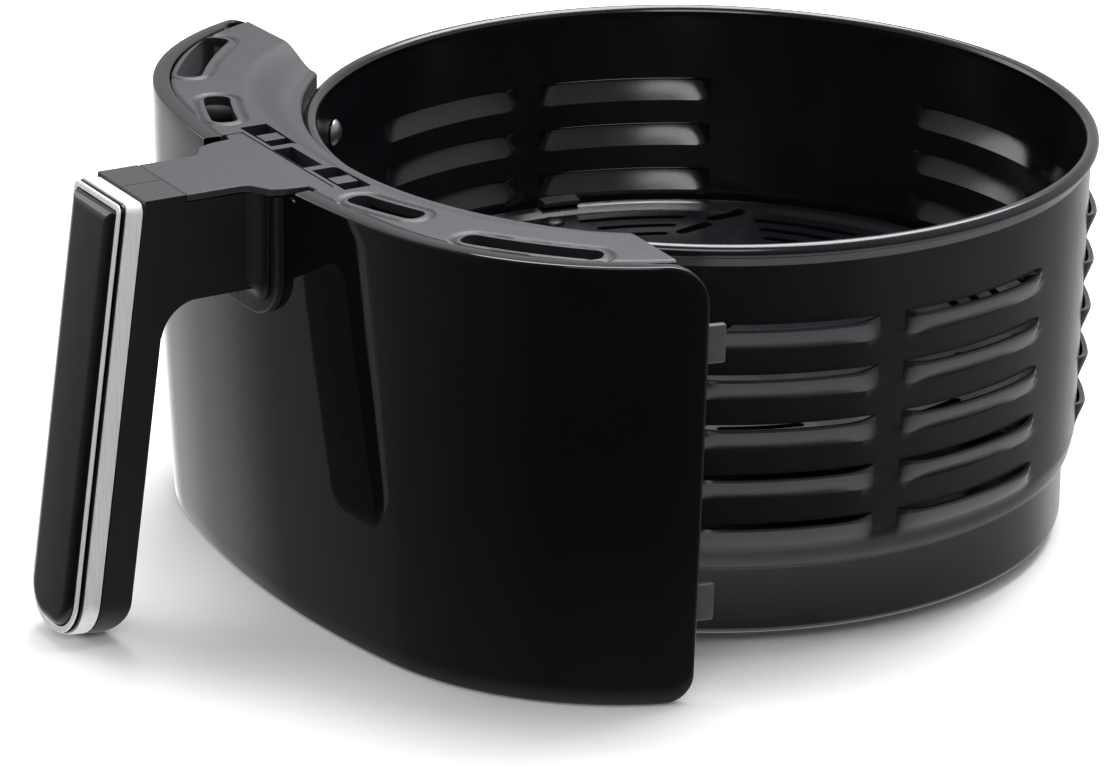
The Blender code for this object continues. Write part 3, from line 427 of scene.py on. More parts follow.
class Maker:
    """Turns meshes into dressed pieces that ride on the frame."""

    def __init__(self, finishes: Finishes) -> None:
        """Keeps the finishes and the count of pieces.

        Args:
            finishes: The drawer's materials.
        """
        self.finishes = finishes
        self.pieces = 0

    def settle(self, obj: bpy.types.Object, material: bpy.types.Material, slot: Slot,
               body: Body, stands_for: Sequence[str] = (),
               sharp: float = 34.0) -> bpy.types.Object:
        """Dresses a piece and fixes it to its body.

        Args:
            obj: The piece, in place.
            material: Its finish.
            slot: The record's slot that the finish belongs to; it is not used.
            body: The body it moves with.
            stands_for: The frame's nodes that it replaces.
            sharp: The angle in degrees above which an edge stays sharp.

        Returns:
            The piece.
        """
        obj.data.materials.clear()
        obj.data.materials.append(material)
        obj.data.shade_smooth()
        obj.data.set_sharp_from_angle(angle=math.radians(sharp))
        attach(obj, body.value)
        if stands_for:
            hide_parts(*stands_for)
        self.pieces += 1
        log.info("%s: %d faces on %s", obj.name, len(obj.data.polygons), body.value)
        return obj

    @staticmethod
    def from_bmesh(bm: bmesh.types.BMesh, name: str, outward: bool = True) -> bpy.types.Object:
        """Makes an object of a bmesh.

        Args:
            bm: The mesh, which is freed.
            name: The object's name.
            outward: Whether to recalculate the faces' directions.

        Returns:
            The object, linked to the scene.
        """
        if outward:
            bmesh.ops.recalc_face_normals(bm, faces=bm.faces)
        mesh = bpy.data.meshes.new(name)
        bm.to_mesh(mesh)
        bm.free()
        obj = bpy.data.objects.new(name, mesh)
        bpy.context.scene.collection.objects.link(obj)
        return obj

    @staticmethod
    def skin(name: str, sections: Sequence[Sequence[Vector]],
             closed: bool = False) -> bpy.types.Object:
        """Lofts equal closed outlines.

        Args:
            name: The object's name.
            sections: The outlines in order.
            closed: Whether the last outline joins the first.

        Returns:
            The object.
        """
        bm = bmesh.new()
        rings = [[bm.verts.new(point) for point in section] for section in sections]
        pairs = list(zip(rings, rings[1:]))
        if closed:
            pairs.append((rings[-1], rings[0]))
        for first, second in pairs:
            for i, vert in enumerate(first):
                j = (i + 1) % len(first)
                bm.faces.new((vert, first[j], second[j], second[i]))
        if not closed:
            bm.faces.new(rings[0])
            bm.faces.new(list(reversed(rings[-1])))
        return Maker.from_bmesh(bm, name)

    @staticmethod
    def turned(name: str, profile: Sequence[Point2], place: Vector, axis: Vector,
               steps: int = 40, ring: bool = False) -> bpy.types.Object:
        """Turns a profile round an axis.

        Args:
            name: The object's name.
            profile: Points of (radius, height along the axis).
            place: The axis's origin.
            axis: The axis's direction.
            steps: The steps round the turn.
            ring: Whether the profile closes on itself.

        Returns:
            The object, with its place in its mesh.
        """
        lean = UPWARDS.rotation_difference(axis).to_matrix()
        bm = bmesh.new()
        rows = []
        for k in range(steps):
            turn = 2.0 * math.pi * k / steps
            rows.append([bm.verts.new(place + lean @ polar(radius, turn, z))
                         for radius, z in profile])
        count = len(profile)
        for k in range(steps):
            here, there = rows[k], rows[(k + 1) % steps]
            for i in range(count if ring else count - 1):
                j = (i + 1) % count
                bm.faces.new((here[i], here[j], there[j], there[i]))
        if not ring:
            for end in (0, count - 1):
                bm.faces.new([row[end] for row in rows])
        return Maker.from_bmesh(bm, name)

    @staticmethod
    def prism(name: str, outlines: Sequence[Sequence[Point2]], low: float, high: float,
              place: Callable[[float, float, float], Vector]) -> bpy.types.Object:
        """Extrudes a flat outline, or the ring between two outlines of equal count.

        Args:
            name: The object's name.
            outlines: The outer outline, and the inner one if it is a ring.
            low: The first face's height.
            high: The second face's height.
            place: Turns two outline coordinates and a height into a point.

        Returns:
            The object.
        """
        if len(outlines) == 1:
            return Maker.skin(name, [[place(a, b, height) for a, b in outlines[0]]
                                     for height in (low, high)])
        sections = [[place(*inner, low), place(*outer, low), place(*outer, high),
                     place(*inner, high)] for outer, inner in zip(*outlines)]
        return Maker.skin(name, sections, closed=True)

    @staticmethod
    def soften(obj: bpy.types.Object, width: float, segments: int = 3,
               angle: float = 30.0) -> bpy.types.Object:
        """Rounds an object's sharp edges with a bevel.

        Args:
            obj: The object.
            width: The bevel's width.
            segments: Its segments.
            angle: The least angle in degrees that it rounds.

        Returns:
            The object.
        """
        bevel = obj.modifiers.new("soft edges", "BEVEL")
        bevel.width = width
        bevel.segments = segments
        bevel.limit_method = "ANGLE"
        bevel.angle_limit = math.radians(angle)
        bevel.harden_normals = False
        return obj

    @staticmethod
    def cut(obj: bpy.types.Object, cutters: Sequence[bpy.types.Object]) -> bpy.types.Object:
        """Cuts shapes out of an object and removes them.

        Args:
            obj: The object, whose mesh is replaced.
            cutters: The shapes to take away, which don't touch one another.

        Returns:
            The object.
        """
        bm = bmesh.new()
        for cutter in cutters:
            bm.from_mesh(cutter.data)
            bpy.data.objects.remove(cutter)
        tool = Maker.from_bmesh(bm, f"{obj.name}_tool", outward=False)
        modifier = obj.modifiers.new("cut", "BOOLEAN")
        modifier.object = tool
        modifier.solver = "EXACT"
        graph = bpy.context.evaluated_depsgraph_get()
        mesh = bpy.data.meshes.new_from_object(obj.evaluated_get(graph))
        obj.modifiers.clear()
        obj.data = mesh
        bpy.data.objects.remove(tool)
        return obj


# Basket ----------------------------------------------------------------------------------


@dataclass(frozen=True)
class Louvres:
    """The pressed louvres: lanced slits whose lower lips are pushed outwards."""

    rows: int = 5
    first_lip: float = 0.0346
    pitch: float = 0.0146
    drop: float = 0.0072
    bulge: float = 0.00285
    slit: float = 0.0009
    pairs: tuple[float, ...] = (math.radians(-3.8), math.radians(81.7), math.radians(176.2))
    lip_share: float = 0.84
    lip_roll: float = 0.0014
    brow: float = 0.0012
    clear: float = 0.0040
    spread: float = math.radians(28.2)
    web: float = math.radians(3.9)

    def lip(self, row: int) -> float:
        """Returns the height of a row's slit."""
        return self.first_lip + row * self.pitch

    def groups(self) -> list[tuple[float, float]]:
        """Places the louvre groups round the wall.

        Returns:
            Each group's first and last turn.
        """
        found = []
        for centre in self.pairs:
            near, far = self.web / 2, self.web / 2 + self.spread
            found += [(centre - far, centre - near), (centre + near, centre + far)]
        return sorted(found)

    @staticmethod
    def across(place: float) -> float:
        """Returns the share of the bulge at a place from -1 to 1 along a louvre."""
        return max(0.0, 1.0 - abs(place) ** 9)

    @staticmethod
    def up(share: float) -> float:
        """Returns the share of the bulge at a share of the height from foot to lip."""
        swell = 0.6 * math.pi / 2
        return math.sin(swell * share) / math.sin(swell)


@dataclass
class Basket:
    """The louvred bowl and the fasteners through its wall."""

    maker: Maker
    louvres: Louvres = field(default_factory=Louvres)
    wall: float = 0.0012
    rim_radius: float = 0.1150
    rim_z: float = 0.1162
    top_radius: float = 0.1130
    foot_radius: float = 0.1123
    foot_z: float = 0.0300
    band_radius: float = 0.1090
    band_z: float = 0.0200
    lip_radius: float = 0.1108
    base_round: float = 0.0020
    base_circles: tuple[float, ...] = (0.030, 0.075, 0.100)
    step: tuple[Point2, ...] = ((-0.0006, 0.0007), (-0.0001, 0.0010), (0.0, 0.0013),
                                (0.0003, 0.0020), (0.0007, 0.0035), (0.0011, 0.0055))
    post_turn: float = math.radians(46.0)
    post_heights: tuple[float, ...] = (0.0400, 0.1000)
    rivet_heights: tuple[float, ...] = (0.0900, 0.0985)
    head_radius: float = 0.0040
    screw_length: float = 0.013
    rivet_length: float = 0.007

    def wall_radius(self, z: float) -> float:
        """Returns the outer radius of the flared wall."""
        share = (z - self.foot_z) / (self.rim_z - self.foot_z)
        return blend_between(self.foot_radius, self.top_radius, share)

    def stations(self) -> list[tuple[float, float]]:
        """Spaces points round the wall, closer over the louvres.

        Returns:
            Each point's turn and its share of the louvres' bulge, below 0 between groups.
        """
        found: list[tuple[float, float]] = []
        groups = self.louvres.groups()
        half = [math.sin(math.pi / 2 * k / 15) ** 0.8 for k in range(16)]
        places = [-p for p in reversed(half[1:])] + half
        for index, (start, stop) in enumerate(groups):
            for place in places:
                turn = blend_between(start, stop, (place + 1.0) / 2.0)
                found.append((turn, self.louvres.across(place) if abs(place) < 1.0 else 0.0))
            plain = (groups[(index + 1) % len(groups)][0] - stop) % (2.0 * math.pi)
            count = max(2, round(plain / math.radians(1.8)))
            found += [(stop + plain * k / count, -1.0) for k in range(1, count)]
        return found

    def outer_rows(self) -> list[Row]:
        """Lists the outer wall's rows from foot to rim.

        Returns:
            Each row's radius, height, share of the bulge and whether it is at a slit.
        """
        louvres = self.louvres
        rows: list[Row] = [(self.band_radius, self.band_z - 0.0006, 0.0, False),
                           (self.band_radius + 0.0002, self.band_z, 0.0, False)]
        rows += [(self.lip_radius + out, self.band_z + up, 0.0, False) for out, up in self.step]
        steps = 12
        for row in range(louvres.rows):
            lip = louvres.lip(row)
            for share in (k / (steps - 1) for k in range(steps)):
                z = blend_between(lip - louvres.drop, lip - louvres.lip_roll, share)
                rows.append((self.wall_radius(z), z, louvres.up(share), False))
            rows.append((self.wall_radius(lip), lip, louvres.lip_share, True))
            for above in (louvres.brow, louvres.clear):
                rows.append((self.wall_radius(lip + above), lip + above, 0.0, False))
        last = louvres.lip(louvres.rows - 1) + louvres.clear
        for share in (0.3, 0.65, 1.0):
            z = blend_between(last, self.rim_z - 0.0062, share)
            rows.append((self.wall_radius(z), z, 0.0, False))
        return rows

    def ring(self, bm: bmesh.types.BMesh, row: Row, inset: float,
             stations: Sequence[tuple[float, float]]) -> tuple[list, list]:
        """Adds one row of the wall.

        Args:
            bm: The mesh.
            row: The row's radius, height, share of the bulge and whether it is at a slit.
            inset: How far inside the outer face it lies.
            stations: The turns round the wall.

        Returns:
            The row as its lower neighbour sees it, and as its upper neighbour sees it.
        """
        radius, z, share, slit = row
        lower, upper = [], []
        for turn, across in stations:
            inside = across > 0.0
            push = self.louvres.bulge * share * across if inside else 0.0
            if slit and inside:
                drop = self.louvres.slit * across ** 2
                lower.append(bm.verts.new(polar(radius - inset + push, turn, z - drop)))
                upper.append(bm.verts.new(polar(radius - inset, turn, z)))
            else:
                vert = bm.verts.new(polar(radius - inset + push, turn, z))
                lower.append(vert)
                upper.append(vert)
        return lower, upper

    @staticmethod
    def bridge(bm: bmesh.types.BMesh, lower: Sequence, upper: Sequence) -> None:
        """Faces two rows.

        Args:
            bm: The mesh.
            lower: One row's points.
            upper: The other row's points.
        """
        for i in range(len(lower)):
            j = (i + 1) % len(lower)
            bm.faces.new((lower[i], lower[j], upper[j], upper[i]))

    def shell(self) -> bpy.types.Object:
        """Builds the bowl's sheet, with its rim, its step and its open louvres.

        Returns:
            The bowl.
        """
        bm = bmesh.new()
        stations = self.stations()
        outer = self.outer_rows()
        corner = self.base_round
        base = [(radius, 0.0) for radius in self.base_circles]
        base += [(self.band_radius - corner + r, z)
                 for r, z in arc((0.0, corner), corner, -90.0, 0.0, 5)]
        bead = arc((self.rim_radius - 0.00165, self.rim_z - 0.00225), 0.00165, -58.0, 0.0, 4)
        bead += arc((self.rim_radius - 0.0020, self.rim_z - 0.0020), 0.0020, 12.0, 168.0, 8)
        bead += [(self.top_radius - self.wall, self.rim_z - 0.0035)]
        path_out = [(r, z, 0.0, False) for r, z in base] + outer
        path_rim = [(r, z, 0.0, False) for r, z in bead]
        path_in = list(reversed(outer))
        path_floor = [(self.band_radius - self.wall - corner + r, z) for r, z in
                      reversed(arc((0.0, self.wall + corner), corner, -90.0, 0.0, 5))]
        path_floor += [(radius, self.wall) for radius in reversed(self.base_circles)]
        rising = [self.ring(bm, row, 0.0, stations) for row in path_out + path_rim]
        falling = [self.ring(bm, row, self.wall, stations) for row in path_in]
        falling += [self.ring(bm, (r, z, 0.0, False), 0.0, stations) for r, z in path_floor]
        for below, above in zip(rising, rising[1:]):
            self.bridge(bm, below[1], above[0])
        self.bridge(bm, rising[-1][1], falling[0][1])
        for above, below in zip(falling, falling[1:]):
            self.bridge(bm, above[0], below[1])
        self.bridge_slits(bm, [rising[len(base) + k] for k, row in enumerate(outer) if row[3]],
                          list(reversed([falling[k] for k, row in enumerate(path_in) if row[3]])))
        bm.faces.new(rising[0][0])
        bm.faces.new(falling[-1][0])
        return self.maker.from_bmesh(bm, "louvred_basket")

    @staticmethod
    def bridge_slits(bm: bmesh.types.BMesh, outer: Sequence, inner: Sequence) -> None:
        """Closes the sheet's thickness along each slit, above and below it.

        Args:
            bm: The mesh.
            outer: Each slit row of the outer face.
            inner: Each slit row of the inner face.
        """
        for face, back in zip(outer, inner):
            count = len(face[0])
            for i in range(count):
                j = (i + 1) % count
                if face[0][i] is face[1][i] and face[0][j] is face[1][j]:
                    continue
                for side in (0, 1):
                    loop = [face[side][i], face[side][j], back[side][j], back[side][i]]
                    bm.faces.new(loop)

    def head(self, name: str, place: Vector, axis: Vector, length: float, node: str) -> None:
        """Builds one domed fastener.

        Args:
            name: The piece's name.
            place: Where its head seats.
            axis: The way its shank points.
            length: The shank's length.
            node: The node it stands for.
        """
        dome = [(0.0002, -0.0020), (0.0012, -0.00192), (0.0022, -0.0016), (0.0032, -0.0010),
                (0.0038, -0.0004), (self.head_radius, -0.0001), (0.0039, 0.0)]
        shank = [(SHANK, 0.0), (SHANK, length - 0.0009), (SHANK_TIP, length)]
        obj = self.maker.turned(name, [*dome, *shank], place, axis)
        self.maker.settle(obj, self.maker.finishes.zinc, Slot.PLATED, Body.DRAWER, [node])

    def fasteners(self) -> None:
        """Builds the screws into the liner's posts and the strap's rivets."""
        sag = self.head_radius ** 2 / (2.0 * self.foot_radius)
        screws = [(turn, z) for turn in (FRONT_TURN - self.post_turn, FRONT_TURN + self.post_turn)
                  for z in self.post_heights]
        rivets = [(FRONT_TURN, z) for z in self.rivet_heights]
        for places, piece, node, length in (
                (screws, "basket_fastener", "basket_screw", self.screw_length),
                (rivets, "strap_fastener", "strap_rivet", self.rivet_length)):
            for number, (turn, z) in enumerate(places, 1):
                seat = self.wall_radius(z) - self.wall - 0.0003 - sag
                self.head(f"{piece}_{number}", polar(seat, turn, z), polar(1.0, turn, 0.0),
                          length, f"{node}_{number}")

    def build(self) -> None:
        """Builds the basket and its fasteners."""
        self.maker.settle(self.shell(), self.maker.finishes.coating, Slot.COATED, Body.DRAWER,
                          ["basket_shell"], sharp=22.0)
        self.fasteners()


# Crisper plate ---------------------------------------------------------------------------


@dataclass
class Crisper:
    """The loose plate, with its legs, boots and bumpers."""

    maker: Maker
    radius: float = 0.1075
    z: float = 0.0530
    thick: float = 0.0012
    rim: float = 0.0020
    skirt: float = 0.0028
    slot_radii: tuple[float, ...] = (0.0950, 0.0872, 0.0796)
    slot_spans: tuple[float, ...] = (math.radians(9.3), math.radians(7.3), math.radians(5.1))
    slot_width: float = 0.0030
    offsets: tuple[float, ...] = (math.radians(14.8), math.radians(48.1), math.radians(75.2))
    drain_width: float = 0.0040
    drains: tuple[tuple[Point2, Point2], ...] = (
        ((0.0810, math.radians(24.0)), (0.0885, math.radians(29.0))),
        ((0.0945, math.radians(30.2)), (0.1010, math.radians(34.6))),
    )
    hole: float = 0.0110
    leg_start: float = math.radians(175.0)
    leg_circle: float = 0.0970
    leg_radius: float = 0.0030
    rivet_radius: float = 0.0015
    boot: tuple[Point2, ...] = (
        (0.0033, 0.0020), (0.0033, 0.0090), (0.0040, 0.0090), (0.0046, 0.0086), (0.0048, 0.0078),
        (0.0048, 0.0012), (0.0045, 0.0004), (0.0038, 0.0),
    )
    floor: float = 0.0015
    bumper_lead: float = math.radians(3.5)
    bumper_spread: float = math.radians(3.2)
    bumper_reach: float = 0.11025

    def leg_turns(self) -> list[float]:
        """Lists the legs' turns round the plate."""
        return [self.leg_start + math.pi / 2 * k for k in range(4)]

    def slot(self, path: Sequence[Point2], width: float) -> bpy.types.Object:
        """Builds a cutter with round ends along a path.

        Args:
            path: Plan points along its middle.
            width: Its width.

        Returns:
            The cutter.
        """
        left: list[Point2] = []
        right: list[Point2] = []
        points = [Vector(p) for p in path]
        for k, here in enumerate(points):
            ahead = points[min(k + 1, len(points) - 1)] - points[max(k - 1, 0)]
            side = Vector((-ahead.y, ahead.x)).normalized() * width / 2
            left.append(tuple(here + side))
            right.append(tuple(here - side))
        caps = []
        for end, inner in ((points[-1], points[-2]), (points[0], points[1])):
            heading = math.degrees(math.atan2(*(end - inner).yx))
            caps.append(arc(tuple(end), width / 2, heading - 60.0, heading + 60.0, 4))
        outline = [*right, *caps[0], *reversed(left), *caps[1]]
        low, high = self.z - self.thick - 0.001, self.z + 0.001
        return self.maker.skin("slot_cutter", [[Vector((x, y, z)) for x, y in outline]
                                               for z in (low, high)])

    def plate(self) -> None:
        """Builds the plate with its rim, slots, drains and lift hole."""
        top, under = self.z, self.z - self.thick
        radius, inner = self.radius, self.radius - self.thick
        edge = rounded([
            (self.hole, top, 0.0), (radius - 0.0062, top, 0.0030),
            (radius - 0.0030, top + 0.0014, 0.0012), (radius - 0.0006, top + self.rim, 0.0005),
            (radius, top + self.rim - 0.0007, 0.0004), (radius, under - self.skirt, 0.0003),
            (inner, under - self.skirt, 0.0003), (inner, under - 0.0010, 0.0008),
            (radius - 0.0036, under, 0.0020), (self.hole, under, 0.0),
        ])
        obj = self.maker.turned("slotted_plate", edge, Vector(), UPWARDS, 192, ring=True)
        cutters = []
        for quarter in self.leg_turns():
            for offset in self.offsets:
                for circle, span in zip(self.slot_radii, self.slot_spans):
                    turns = (quarter - offset + span * (k / 6 - 1.0) for k in range(13))
                    path = [tuple(polar(circle, turn, 0.0).xy) for turn in turns]
                    cutters.append(self.slot(path, self.slot_width))
            for (near, start), (far, stop) in self.drains:
                ends = (polar(near, quarter - start, 0.0).xy, polar(far, quarter - stop, 0.0).xy)
                cutters.append(self.slot([tuple(end) for end in ends], self.drain_width))
        self.maker.cut(obj, cutters)
        self.maker.settle(obj, self.maker.finishes.coating, Slot.COATED, Body.CRISPER,
                          ["crisper_plate"])

    def supports(self) -> None:
        """Builds the riveted legs, their soft boots and the rim's bumpers."""
        gap, floor = 0.0003, self.floor
        under = self.z - self.thick - gap
        top = self.z + gap
        for number, turn in enumerate(self.leg_turns(), 1):
            place = polar(self.leg_circle, turn, 0.0)
            leg = [(0.0002, top + 0.0012), (0.0015, top + 0.0011), (0.0028, top + 0.0008),
                   (0.0034, top + 0.0003), (0.0035, top), (self.rivet_radius, top),
                   (self.rivet_radius, under), (self.leg_radius, under),
                   (self.leg_radius, floor + 0.0026), (0.0024, floor + 0.0023)]
            obj = self.maker.turned(f"riveted_leg_{number}", leg, place, UPWARDS, 32)
            self.maker.settle(obj, self.maker.finishes.blackened, Slot.PLATED, Body.CRISPER,
                              [f"plate_leg_{number}"])
            boot = [(radius, floor + up) for radius, up in self.boot]
            obj = self.maker.turned(f"soft_boot_{number}", boot, place, UPWARDS, 32)
            self.maker.settle(obj, self.maker.finishes.silicone, Slot.SILICONE, Body.CRISPER,
                              [f"leg_boot_{number}"])
            self.bumper(number, turn - self.bumper_lead)

    def bumper(self, number: int, centre: float) -> None:
        """Builds one clip-on bumper.

        Args:
            number: Its number.
            centre: Its turn round the plate.
        """
        shell, lid = self.radius + 0.0003, self.z + self.rim + 0.0003
        foot, reach = self.z - 0.0055, self.bumper_reach
        crown, hook = lid + 0.0018, self.radius - 0.0030
        outline = rounded([
            (shell, foot, 0.0002), (reach, foot, 0.0006), (reach, lid + 0.0011, 0.0005),
            (reach - 0.0008, crown, 0.0006), (hook, crown, 0.0008), (hook, lid, 0.0002),
            (shell, lid, 0.0),
        ], 3)
        sections = []
        for k in range(9):
            turn = blend_between(centre - self.bumper_spread, centre + self.bumper_spread, k / 8)
            sections.append([polar(radius, turn, z) for radius, z in outline])
        obj = self.maker.soften(self.maker.skin(f"rim_bumper_{number}", sections), 0.0005)
        self.maker.settle(obj, self.maker.finishes.silicone, Slot.SILICONE, Body.CRISPER,
                          [f"plate_bumper_{number}"])

    def build(self) -> None:
        """Builds the plate and what it stands on."""
        self.plate()
        self.supports()


# Front -----------------------------------------------------------------------------------


@dataclass(frozen=True)
class FrontCurve:
    """The front's plan curve: a shallow middle arc that tightens at both corners."""

    reach: float = 0.1485
    middle: float = 0.3100
    corner: float = 0.0860
    meet: float = math.radians(12.0)
    top: float = 0.1240
    foot: float = -0.0040
    draft: float = 0.0055
    power: float = 1.6

    def plan(self, run: float, inset: float) -> Point2:
        """Finds a plan point of the curve.

        Args:
            run: The length along the curve from its middle.
            inset: How far the point is moved inwards.

        Returns:
            The point.
        """
        side = -1.0 if run < 0.0 else 1.0
        straight = self.middle * self.meet
        x, y, radius, turn = 0.0, self.middle - self.reach, self.middle, abs(run) / self.middle
        if abs(run) > straight:
            x = (self.middle - self.corner) * math.sin(self.meet)
            y -= (self.middle - self.corner) * math.cos(self.meet)
            radius, turn = self.corner, self.meet + (abs(run) - straight) / self.corner
        radius -= inset
        return side * (x + radius * math.sin(turn)), y - radius * math.cos(turn)

    def point(self, run: float, inset: float, z: float) -> Vector:
        """Finds a point behind the face, which leans in towards its foot.

        Args:
            run: The length along the curve from its middle.
            inset: The distance behind the face.
            z: The height.

        Returns:
            The point.
        """
        share = max(0.0, (self.top - z) / (self.top - self.foot))
        x, y = self.plan(run, inset + self.draft * share ** self.power)
        return Vector((x, y, z))

    @staticmethod
    def runs(limit: float, rounding: float, marks: Sequence[float] = (),
             step: float = 0.0024) -> list[float]:
        """Lists runs along the curve, closer over a rounded end and at each mark.

        Args:
            limit: The last run.
            rounding: The length over which the end is rounded.
            marks: Runs where the section changes.
            step: The widest spacing.

        Returns:
            The runs from one side to the other.
        """
        plain = limit - rounding
        count = math.ceil(plain / step)
        half = {round(plain * k / count, 6) for k in range(count + 1)}
        half |= {round(plain + rounding * math.sin(math.radians(turn)), 6)
                 for turn in (8, 16, 24, 32, 40, 48, 56, 63, 70, 76, 81, 85, 88, 90)}
        for mark in marks:
            half |= {round(mark - 0.00002, 6), round(mark + 0.00002, 6)}
        ordered = sorted(half)
        return [-run for run in reversed(ordered[1:])] + ordered

    @staticmethod
    def turned_in(run: float, limit: float, rounding: float) -> float:
        """Returns how far an edge has rounded away where it nears the end."""
        over = abs(run) - (limit - rounding)
        return 0.0 if over <= 0.0 else rounding - math.sqrt(max(0.0, rounding ** 2 - over ** 2))


@dataclass
class Front:
    """The gloss panel, the liner behind it and the frame on top."""

    maker: Maker
    curve: FrontCurve = field(default_factory=FrontCurve)
    panel_run: float = 0.1614
    panel_thick: float = 0.0026
    panel_lip: float = 0.0050
    panel_lip_thick: float = 0.0024
    top_round: float = 0.0120
    foot_round: float = 0.0090
    liner_thick: float = 0.0014
    liner_margin: float = 0.0040
    frame_run: float = 0.1530
    frame_radius: float = 0.1156
    frame_turn: float = math.radians(44.3)
    lip_z: float = 0.1190
    foot_z: float = 0.1100
    skin: float = 0.0026
    slots: tuple[tuple[float, float, float], ...] = (
        (math.radians(15.5), math.radians(25.5), 0.1400),
        (math.radians(32.8), math.radians(48.0), 0.1488),
    )
    slot_width: float = 0.0076
    notch_half: float = 0.0273
    notch_drop: float = 0.0023
    edge_round: float = 0.0010
    fit: float = 0.0006
    liner_foot: float = 0.0020
    tab_half: float = 0.0055
    tab_thick: float = 0.0026
    tab_heights: tuple[tuple[float, str], ...] = ((0.0245, "lower"), (0.1000, "upper"))
    post_heights: tuple[tuple[float, str], ...] = ((0.0400, "lower"), (0.1000, "upper"))
    post_turn: float = math.radians(46.0)
    post_near: float = 0.1131
    post_radius: float = 0.0060
    pocket_x: tuple[float, float] = (0.0120, 0.0310)
    pocket_y: tuple[float, float] = (-0.1340, -0.1256)
    pocket_floor: float = 0.1195
    latch_half: float = 0.0090
    latch_y: tuple[float, float] = (-0.1351, -0.1290)
    notch_y: tuple[float, float] = (-0.1500, -0.1352)
    notch_depth: float = 0.0024
    scoop: tuple[float, float] = (0.06, 0.40)
    groove: float = 0.0006
    collar_bolt: Point2 = (0.0105, 0.0985)
    frame_bolt: Point2 = (0.0265, -0.1300)

    def panel(self) -> None:
        """Builds the gloss panel with its rolled top strip."""
        sections = []
        for run in self.curve.runs(self.panel_run, self.top_round, (self.notch_half,)):
            top = self.curve.top - self.curve.turned_in(run, self.panel_run, self.top_round)
            foot = self.curve.foot + self.curve.turned_in(run, self.panel_run, self.foot_round)
            if abs(run) < self.notch_half:
                top -= self.notch_drop
            fade = smooth((self.frame_run - 0.006 - abs(run)) / 0.006)
            lip = blend_between(self.panel_thick + self.fit, self.panel_lip, fade)
            edge = self.curve.turned_in(run, self.panel_run, self.edge_round)
            under = top - self.panel_lip_thick
            outline = rounded([
                (edge, foot, 0.0008), (edge, top, 0.0007), (lip, top, 0.0004),
                (lip, under, 0.0003), (self.panel_thick, under, 0.0004),
                (self.panel_thick, foot, 0.0006),
            ], 4)
            sections.append(self.with_levels(run, outline))
        obj = self.maker.skin("gloss_panel", sections)
        self.maker.settle(obj, self.maker.finishes.gloss, Slot.GLOSS, Body.DRAWER, ["front_panel"])

    def with_levels(self, run: float, outline: Sequence[Point2],
                    levels: int = 26) -> list[Vector]:
        """Places an outline of (inset, z), with more points on its long upright sides.

        Args:
            run: The section's run along the curve.
            outline: Its outline.
            levels: The points along each long side.

        Returns:
            The section's points.
        """
        points: list[Vector] = []
        for k, (inset, z) in enumerate(outline):
            after = outline[(k + 1) % len(outline)]
            points.append(self.curve.point(run, inset, z))
            if abs(after[1] - z) > 0.030:
                for level in range(1, levels):
                    share = level / levels
                    points.append(self.curve.point(run, blend_between(inset, after[0], share),
                                                   blend_between(z, after[1], share)))
        return points

    def liner(self) -> None:
        """Builds the liner, its side tabs and its posts."""
        limit = self.panel_run - self.liner_margin
        front = self.panel_thick + self.fit
        back = front + self.liner_thick
        lid = self.curve.top - self.panel_lip_thick - self.fit
        sections = []
        for run in self.curve.runs(limit, self.top_round, (self.notch_half,), 0.0040):
            top = lid - self.curve.turned_in(run, limit, self.top_round)
            foot = self.liner_foot + self.curve.turned_in(run, limit, self.foot_round)
            if abs(run) < self.notch_half:
                top = min(top, self.curve.top - self.notch_drop - 0.0003)
            outline = rounded([(front, foot, 0.0003), (front, top, 0.0003),
                               (back, top, 0.0004), (back, foot, 0.0004)], 2)
            sections.append(self.with_levels(run, outline, 10))
        obj = self.maker.skin("panel_backing", sections)
        self.maker.settle(obj, self.maker.finishes.satin, Slot.SATIN, Body.DRAWER, ["panel_liner"])
        for side, word in SIDES:
            for z, place in self.tab_heights:
                self.tab(f"side_tab_{place}_{word}", side, z, limit, front)
        for side, word in SIDES:
            for z, place in self.post_heights:
                self.post(f"liner_post_{place}_{word}", FRONT_TURN + side * self.post_turn, z)

    def tab(self, name: str, side: float, z: float, limit: float, front: float) -> None:
        """Builds one tab that stands out past the panel's side edge.

        Args:
            name: The piece's name.
            side: -1 at the left or 1 at the right.
            z: Its middle's height.
            limit: The liner's last run.
            front: The liner's front inset.
        """
        sections = []
        low, high = z - self.tab_half, z + self.tab_half
        near, far = front + 0.0002, front + self.tab_thick
        for run in (limit - 0.012, limit, self.panel_run + 0.003, self.panel_run + 0.0063):
            sections.append([self.curve.point(side * run, inset, height) for inset, height in
                             ((near, low), (far, low), (far, high), (near, high))])
        obj = self.maker.soften(self.maker.skin(name, sections), 0.0006)
        # The tab's finish is the black moulding lightened with painted light.
        self.maker.settle(obj, self.maker.finishes.tab, Slot.SATIN, Body.DRAWER)

    def post(self, name: str, turn: float, z: float) -> None:
        """Builds one post from the liner to the basket's wall.

        Args:
            name: The piece's name.
            turn: Its turn round the basket.
            z: Its height.
        """
        side = math.copysign(1.0, math.cos(turn))
        back = 0.0046
        spots = (self.curve.point(0.0005 * k * side, back, z).xy for k in range(306))
        far = min((abs(math.atan2(spot.y, spot.x) - turn), spot.length) for spot in spots)[1]
        length = far - self.post_near
        profile = [(0.0054, 0.0), (self.post_radius, 0.0006), (self.post_radius, length - 0.002),
                   (0.0066, length - 0.0008), (0.0078, length)]
        obj = self.maker.turned(name, profile, polar(self.post_near, turn, z),
                                polar(1.0, turn, 0.0), 36)
        self.maker.settle(obj, self.maker.finishes.satin, Slot.SATIN, Body.DRAWER)

